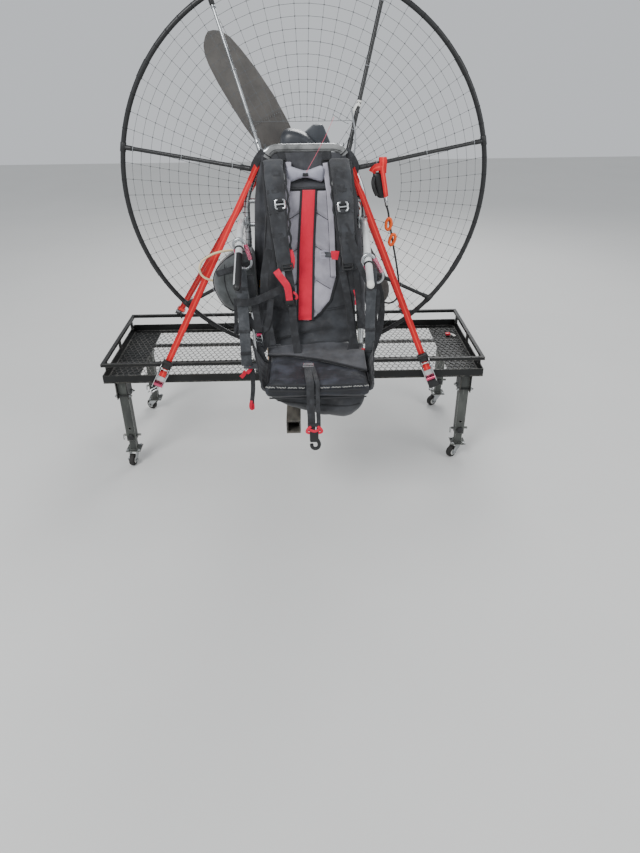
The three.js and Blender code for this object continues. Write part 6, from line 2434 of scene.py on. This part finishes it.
class PARAMOTOR_OT_pouch(bpy.types.Operator):
    """Sews the side pouch with its binding, strap and brass pull"""

    bl_idname = "paramotor.pouch"
    bl_label = "Side pouch"

    EDGE = ((-190, 934), (-224, 936), (-252, 930), (-286, 908), (-322, 872), (-335, 838), (-335, 812),
            (-322, 770), (-298, 734), (-264, 716), (-228, 719), (-190, 728))

    def execute(self, context):
        parts = Solids()
        outline = smooth_path([Vector((x, 0, z)) for x, z in (*self.EDGE, self.EDGE[0])], 12)[:-1]
        middle = Vector((-245, 0, 828))
        rings = []
        for y, size in ((-384, 0.55), (-383, 0.72), (-378, 0.86), (-366, 0.95), (-350, 0.985), (-322, 1.0),
                        (-296, 0.985), (-276, 0.96), (-264, 0.9)):
            ring = []
            for p in outline:
                flat = middle + (p - middle) * size
                flat.x = max(flat.x, p.x) if p.x > -192 else flat.x
                fold = 3.5 * ripple(flat.x * 0.03, y * 0.02, flat.z * 0.03)
                ring.append(spot(flat.x, y + fold, flat.z + fold))
            rings.append(ring)
        parts.loft(rings, pouch_canvas)
        pouch = parts.make("pouch_cloth", replaces=["side_pouch"], crease=180)
        inflate(pouch, 0.006, 0.004)
        trim = Solids()
        edge = []
        for p in outline:
            flat = middle + (p - middle) * 0.99
            edge.append(spot(flat.x, -352, flat.z))
        trim.tube(edge[1:-2], 0.0028, black_thread, sides=8)
        seam = smooth_path(spots([(-286, -386, 900), (-292, -388, 850), (-284, -389, 800),
                                  (-268, -386, 752)]), 0.008)
        trim.tube(seam, 0.0016, black_thread, sides=6)
        trim.strap(spots([(-200, -390, 900), (-260, -395, 886), (-318, -380, 866)]), 0.020, black_web)
        pull = spot(-175, -281, 802)
        trim.rod(pull + Vector((0, 0, 0.008)), pull - Vector((0, 0, 0.008)), 0.0026, brass, sides=10)
        trim.box(pull - Vector((0, 0, 0.014)), (0.009, 0.003, 0.011), brass, round_by=0.001)
        trim.make("pouch_trim")
        return {"FINISHED"}


class PARAMOTOR_OT_arms(bpy.types.Operator):
    """Makes the two pivoting arms with their caps and loops, and the carabiner on each"""

    bl_idname = "paramotor.arms"
    bl_label = "Arms and carabiners"

    ARMS = (
        # side, x, how far along the arm its carabiner hangs, how far that swings out in degrees
        ("left", -228, 0.3, 15),
        ("right", 204, 0.58, 28),
    )
    ROOT, KNEE, TIP = (-261.6, 1015), (-335, 1015), (-602, 878)

    def execute(self, context):
        for side, x, share, swing in self.ARMS:
            parts = Solids()
            points = [spot(x, y, z) for y, z in (self.ROOT, self.KNEE, self.TIP)]
            parts.tube(bent([*points[:2], points[2].lerp(points[1], 0.04)], 0.04, 0.006), 0.012, white_tube,
                       sides=24)
            way = (points[2] - points[1]).normalized()
            tip = [(0, 0.0122), (0.010, 0.0124), (0.016, 0.0104), (0.020, 0.0070), (0.0222, 0.0034),
                   (0.0226, 0.001)]
            parts.turned(points[2] - way * 0.022, way, tip, black_plastic if side == "left"
                         else white_plastic)
            if side == "left":
                sleeve = [points[1].lerp(points[2], s) for s in (0.46, 0.48, 0.8, 0.93)]
                parts.tube(sleeve, 0.0131, black_plastic, sides=24, scale=lambda s: 0.95 if s in (0.0, 1.0)
                           else 1.0)
                # The pale strip along the black sleeve's upper front is a painted highlight, laid on the
                # side that faces the key light.
                stripe = [point + Vector((-0.0085, -0.0080, 0.0060)) for point in sleeve]
                parts.sweep(stripe, round_section(0.006, 0.003), white_tube,
                            facing=Vector((-0.6, -0.5, 0.6)))
            hang = points[1].lerp(points[2], share)
            for offset in (-0.019, 0.019):
                parts.rod(hang + way * (offset - 0.004), hang + way * (offset + 0.004), 0.0152,
                          black_plastic)
            plate_x = 0.016 if x < 0 else -0.016
            parts.box(points[0] + Vector((plate_x, -0.012, 0)), (0.006, 0.024, 0.044), machined_metal,
                      round_by=0.0015)
            for z in (-0.013, 0.013):
                parts.rod(points[0] + Vector((plate_x - 0.006, -0.014, z)),
                          points[0] + Vector((plate_x + 0.006, -0.014, z)), 0.004, zinc, sides=12)
            strap = [points[1].lerp(points[2], 0.72),
                     points[1].lerp(points[2], 0.80) + Vector((0, 0.002, -0.03)),
                     points[1].lerp(points[2], 0.84) + Vector((0, 0.01, -0.05))]
            parts.strap(strap, 0.022, black_web, facing=Vector((0, -0.6, 0.8)))
            parts.make(f"arm_tube_{side}", replaces=[f"arm_{side}"])
            self.carabiner(side, hang, swing)
        return {"FINISHED"}

    def carabiner(self, side, top, swing):
        parts = Solids()
        turn = Matrix.Rotation(math.radians(-swing), 3, "Y")

        def at(x, y, z):
            return top + turn @ Vector((x, y, z)) / 1000

        ends = ((0, 0, 20, 0), (0, -62, 22, 180))
        path = []
        for x, z, radius, first in ends:
            for i in range(25):
                angle = math.radians(first + 180 * i / 24)
                path.append(at(x + radius * math.cos(angle), 0, z + radius * math.sin(angle)))
        dense = []
        for i, point in enumerate(path):
            after = path[(i + 1) % len(path)]
            steps = max(1, round((after - point).length / 0.004))
            dense += [point.lerp(after, k / steps) for k in range(steps)]
        parts.sweep(dense, circle_section(0.0048, 16), machined_metal, facing=FRONT, closed=True)
        axis = (at(0, 0, 1) - at(0, 0, 0)).normalized()
        profile = [(0, 0.0060), (0.002, 0.0080), (0.052, 0.0080), (0.054, 0.0060)]
        parts.turned(at(21, 0, -58), axis, profile, pink_metal, sides=20)
        for i in range(11):
            ring = ring_path(at(21, 0, -54 + i * 4.6), turn @ Vector((0.0081, 0, 0)),
                             Vector((0, 0.0081, 0)), count=20)
            parts.tube(ring, 0.0006, buckle_metal, sides=5, closed=True)
        parts.sweep([at(-21, -3.8, -52), at(-20.5, -3.8, -8)], round_section(0.005, 0.003), pink_metal,
                    FRONT)
        parts.rod(at(20.5, -6, -2), at(20.5, 6, -2), 0.0024, zinc, sides=10)
        parts.make(f"carabiner_ring_{side}", replaces=[f"carabiner_{side}"])


class PARAMOTOR_OT_throttle(bpy.types.Operator):
    """Makes the hand throttle with its red strap, trigger and the orange rings on its cable"""

    bl_idname = "paramotor.throttle"
    bl_label = "Throttle"

    GRIP = (
        # height, half width, half depth
        (1084, 9, 6), (1087, 14, 9), (1096, 18, 12), (1108, 19, 13.5), (1122, 19, 13.5), (1140, 19, 14),
            (1156, 18, 14), (1167, 16, 12), (1171, 12, 8),
    )

    def lean(self, z):
        """The grip's middle, which hangs out to the right at its lower end."""
        return 253 + 17 * (1170 - z) / 80

    def execute(self, context):
        parts = Solids()
        rings = []
        for z, half_x, half_y in self.GRIP:
            shift = self.lean(z)
            ring = []
            for j in range(28):
                c, v = math.cos(2 * math.pi * j / 28), math.sin(2 * math.pi * j / 28)
                ring.append(spot(shift + half_x * squared(c, 0.8), -223 + half_y * squared(v, 0.8), z))
            rings.append(ring)
        parts.loft(rings, black_plastic)
        trigger = smooth_path(spots([(240, -236, 1156), (236, -246, 1140), (241, -250, 1118),
                                     (252, -243, 1096)]), 0.005)
        parts.sweep(trigger, round_section(0.012, 0.004), black_plastic, FRONT)
        band = smooth_path(spots([(268, -236, 1196), (271, -241, 1172), (277, -243, 1140),
                                  (283, -242, 1108), (286, -236, 1090)]), 0.006)
        parts.sweep(band, flat_section(0.018, 0.0022), red_web, facing=Vector((0.45, -1, 0)))
        patch = smooth_path(spots([(268, -238, 1190), (254, -242, 1190), (240, -239, 1184),
                                   (233, -232, 1172)]), 0.005)
        parts.sweep(patch, flat_section(0.024, 0.002), red_web, facing=Vector((0, -1, 0.2)))
        loop = smooth_path(spots([(271, -232, 1168), (271, -236, 1186), (271, -238, 1202),
                                  (271, -232, 1217), (271, -222, 1219), (271, -212, 1212),
                                  (271, -209, 1196), (271, -214, 1178), (271, -218, 1167)]), 0.006)
        parts.sweep(loop, flat_section(0.026, 0.002), red_web,
                    facing=[(p - spot(271, -223, 1196)) for p in loop])
        parts.rod(spot(284, -224, 1088), spot(291, -223, 1058), 0.0065, buckle_metal)
        parts.rod(spot(290, -223, 1062), spot(292, -223, 1052), 0.0050, black_plastic)
        parts.make("throttle_handle", replaces=["throttle"], crease=50)
        tags = Solids()
        for x, z, tilt in ((300, 993, 0.1), (316, 937, 0.25)):
            path = ring_path(spot(x, -228, z), Vector((0.0092, -0.002, 0)),
                             Vector((tilt * 0.018, 0, 0.0195)), count=36)
            tags.tube(path, 0.0056, orange_plastic, sides=12, closed=True)
        tags.make("throttle_rings")
        return {"FINISHED"}


# Tie-downs

class PARAMOTOR_OT_ties(bpy.types.Operator):
    """Makes the four tie-downs: red webbing, ratchets, hooks and the small buckle left on the deck"""

    bl_idname = "paramotor.ties"
    bl_label = "Tie-downs"

    FRONTS = (
        # side, top x and z, ratchet x and z, from the carrier's middle
        ("left", -115, 1182, -506, 464),
        ("right", 230, 1170, 518, 472),
    )
    TOP_Y, LOW_Y = -262.6, -298
    REARS = (
        # side, x of the hook on the rear rail, x on the frame's corner
        ("left", -529, -100),
        ("right", 505, 220),
    )

    def execute(self, context):
        for side, x0, z0, x1, z1 in self.FRONTS:
            self.front(side, tray_spot(x0, self.TOP_Y, z0), tray_spot(x1, self.LOW_Y, z1))
        for side, x0, x1 in self.REARS:
            self.rear(side, x0, x1)
        self.small_buckle()
        return {"FINISHED"}

    def front(self, side, top, low):
        along = (top - low).normalized()
        across = along.cross(FRONT).normalized()
        out = across.cross(along).normalized()
        if out.y > 0:
            out = -out
        parts = Solids()
        length = (top - low).length
        steps = round(length / 0.012)
        path = [low + along * length * i / steps for i in range(steps + 1)]
        lean = -1 if side == "left" else 1
        facing = []
        for i in range(steps + 1):
            twist = max(0.0, i / steps - 0.35) * 1.2
            facing.append(Quaternion(along, lean * twist + 0.06 * math.sin(i * 0.07)) @ out)
        parts.sweep(path, flat_section(0.025, 0.0025), red_web, facing=facing)
        tail = [point + face * 0.0022 for point, face in zip(path[:steps // 2], facing)]
        parts.sweep(tail, flat_section(0.022, 0.0018), red_web, facing=facing[:steps // 2])
        collar = smooth_path([top - along * 0.03 + out * 0.003, top + along * 0.01 + out * 0.012,
                              top + along * 0.03 + out * 0.006, top + along * 0.034 - out * 0.01,
                              top + along * 0.022 - out * 0.022], 0.006)
        parts.sweep(collar, flat_section(0.020, 0.003), red_web, facing=[(p - top) for p in collar])
        parts.make(f"tie_webbing_{side}", replaces=[f"tie_down_front_{side}"])
        metalwork = Solids()
        turn = Matrix((across, along, out)).transposed().to_quaternion()

        def local(a, b, c):
            return low + across * a / 1000 + along * b / 1000 + out * c / 1000

        for edge in (-19, 19):
            metalwork.box(local(edge, -36, 6), (0.003, 0.096, 0.026), buckle_metal, turn=turn,
                          round_by=0.001)
            metalwork.box(local(edge * 0.88, 6, 12), (0.003, 0.062, 0.018), black_plastic, turn=turn,
                          round_by=0.001)
            metalwork.turned(local(edge - 1.5, -18, 8), across,
                             [(0, 0.0155), (0.003, 0.0155), (0.0031, 0.001)], buckle_metal, sides=12)
        metalwork.box(local(0, -56, -4), (0.038, 0.052, 0.003), buckle_metal, turn=turn, round_by=0.001)
        metalwork.rod(local(-22, -18, 8), local(22, -18, 8), 0.005, buckle_metal)
        spool = []
        for i in range(80):
            angle = 2 * math.pi * i / 20
            radius = 7 + 0.075 * i
            spool.append(local(0, -18 + radius * math.cos(angle), 8 + radius * math.sin(angle)))
        centre = local(0, -18, 8)
        metalwork.sweep(spool, flat_section(0.027, 0.0018), red_web, facing=[(p - centre) for p in spool])
        metalwork.rod(local(-21, -70, 8), local(21, -70, 8), 0.0065, pink_metal)
        metalwork.rod(local(-20, 36, 14), local(20, 36, 14), 0.009, black_plastic)
        metalwork.box(local(0, 22, 14), (0.030, 0.024, 0.005), black_plastic, turn=turn, round_by=0.001)
        hold = local(0, -70, 4)
        rim = Vector((hold.x, tray_spot(0, -284, 0).y, 0.392))
        metalwork.strap([hold, hold.lerp(rim, 0.5) + Vector((0, 0, -0.006)), rim,
                         rim + Vector((0, 0.022, 0.0045))], 0.024, red_web,
                        facing=Vector((0, -1, -0.4)))
        if side == "right":
            metalwork.box(local(2, -98, -2), (0.040, 0.034, 0.012), black_plastic, turn=turn,
                          round_by=0.003)
        for edge in (-6, 6):
            hook = smooth_path([local(edge * 0.4, -84, -5), local(edge, -94, -6), local(edge - 8, -106, -6),
                                local(edge - 14, -116, -2), local(edge - 15, -120, 6)], 0.004)
            metalwork.tube(hook, 0.0026, buckle_metal, sides=10)
        metalwork.make(f"ratchet_{side}")

    def rear(self, side, x0, x1):
        """A strap from the frame's top corner down behind the motor to its ratchet on the rear rail."""
        low = tray_spot(x0, 262, 505)
        top = tray_spot(x1, -246, 1176)
        along = (top - low).normalized()
        out = REAR - along * along.y
        out.normalize()
        across = along.cross(out)
        turn = Matrix((across, along, out)).transposed().to_quaternion()
        parts = Solids()
        steps = round((top - low).length / 0.012)
        path = [low.lerp(top, i / steps) for i in range(steps + 1)]
        facing = [Quaternion(along, 0.12 * math.sin(i * 0.04)) @ out for i in range(steps + 1)]
        parts.sweep(path, flat_section(0.025, 0.002), red_web, facing=facing)
        for edge in (-16, 16):
            parts.box(low + across * edge / 1000 - along * 0.002, (0.0026, 0.058, 0.018), buckle_metal,
                      turn=turn, round_by=0.0008)
        parts.rod(low - across * 0.019 + along * 0.01, low + across * 0.019 + along * 0.01, 0.0085, red_web)
        parts.rod(low - across * 0.019 - along * 0.016, low + across * 0.019 - along * 0.016, 0.0045,
                  buckle_metal)
        hook = smooth_path([low - along * 0.016, tray_spot(x0, 258, 492), tray_spot(x0, 252, 478),
                            tray_spot(x0, 258, 468), tray_spot(x0, 268, 468)], 0.004)
        parts.tube(hook, 0.003, black_plastic, sides=10)
        parts.box(low + out * 0.012 - along * 0.03, (0.028, 0.05, 0.005), black_plastic, turn=turn,
                  round_by=0.001)
        parts.make(f"rear_tie_{side}", replaces=[f"tie_down_rear_{side}"])

    def small_buckle(self):
        parts = Solids()
        centre = tray_spot(704, 146, 410)
        parts.box(centre, (0.022, 0.020, 0.009), red_plastic, round_by=0.002)
        parts.strap([centre + Vector((0.010, 0, 0)), centre + Vector((0.020, -0.008, 0)),
                     centre + Vector((0.028, -0.024, -0.002))],
                    0.014, white_thread, facing=UP)
        parts.make("deck_buckle")


# Add-on

class ParamotorSettings(bpy.types.PropertyGroup):
    """Sizes that a user would change before building"""

    deck: PointerProperty(type=DeckSettings)
    net: PointerProperty(type=NetSettings)


STEPS = (
    PARAMOTOR_OT_camera,
    PARAMOTOR_OT_cords,
    PARAMOTOR_OT_stage,
    PARAMOTOR_OT_carrier_steel,
    PARAMOTOR_OT_deck,
    PARAMOTOR_OT_leg_fittings,
    PARAMOTOR_OT_caster_fittings,
    PARAMOTOR_OT_hitch_fittings,
    PARAMOTOR_OT_main_frame,
    PARAMOTOR_OT_hoop,
    PARAMOTOR_OT_spar_clips,
    PARAMOTOR_OT_net,
    PARAMOTOR_OT_skid,
    PARAMOTOR_OT_engine,
    PARAMOTOR_OT_air_box,
    PARAMOTOR_OT_propeller,
    PARAMOTOR_OT_backrest,
    PARAMOTOR_OT_headrest,
    PARAMOTOR_OT_shoulder_straps,
    PARAMOTOR_OT_seat,
    PARAMOTOR_OT_side_cloth,
    PARAMOTOR_OT_side_straps,
    PARAMOTOR_OT_pouch,
    PARAMOTOR_OT_arms,
    PARAMOTOR_OT_throttle,
    PARAMOTOR_OT_ties,
)


class PARAMOTOR_PT_panel(bpy.types.Panel):
    """Lists the sizes and the steps that build the paramotor's looks"""

    bl_idname = "PARAMOTOR_PT_panel"
    bl_label = "Paramotor"
    bl_space_type = "VIEW_3D"
    bl_region_type = "UI"
    bl_category = "Paramotor"

    def draw(self, context):
        for group in (context.scene.paramotor.deck, context.scene.paramotor.net):
            box = self.layout.box()
            for name in group.__annotations__:
                box.prop(group, name)
        for step in STEPS:
            self.layout.operator(step.bl_idname)


CLASSES = (DeckSettings, NetSettings, ParamotorSettings, *STEPS, PARAMOTOR_PT_panel)


def register():
    for cls in CLASSES:
        bpy.utils.register_class(cls)
    bpy.types.Scene.paramotor = PointerProperty(type=ParamotorSettings)


def unregister():
    del bpy.types.Scene.paramotor
    for cls in reversed(CLASSES):
        bpy.utils.unregister_class(cls)


def main():
    register()
    for step in STEPS:
        group, name = step.bl_idname.split(".")
        getattr(getattr(bpy.ops, group), name)()


if __name__ == "__main__":
    main()
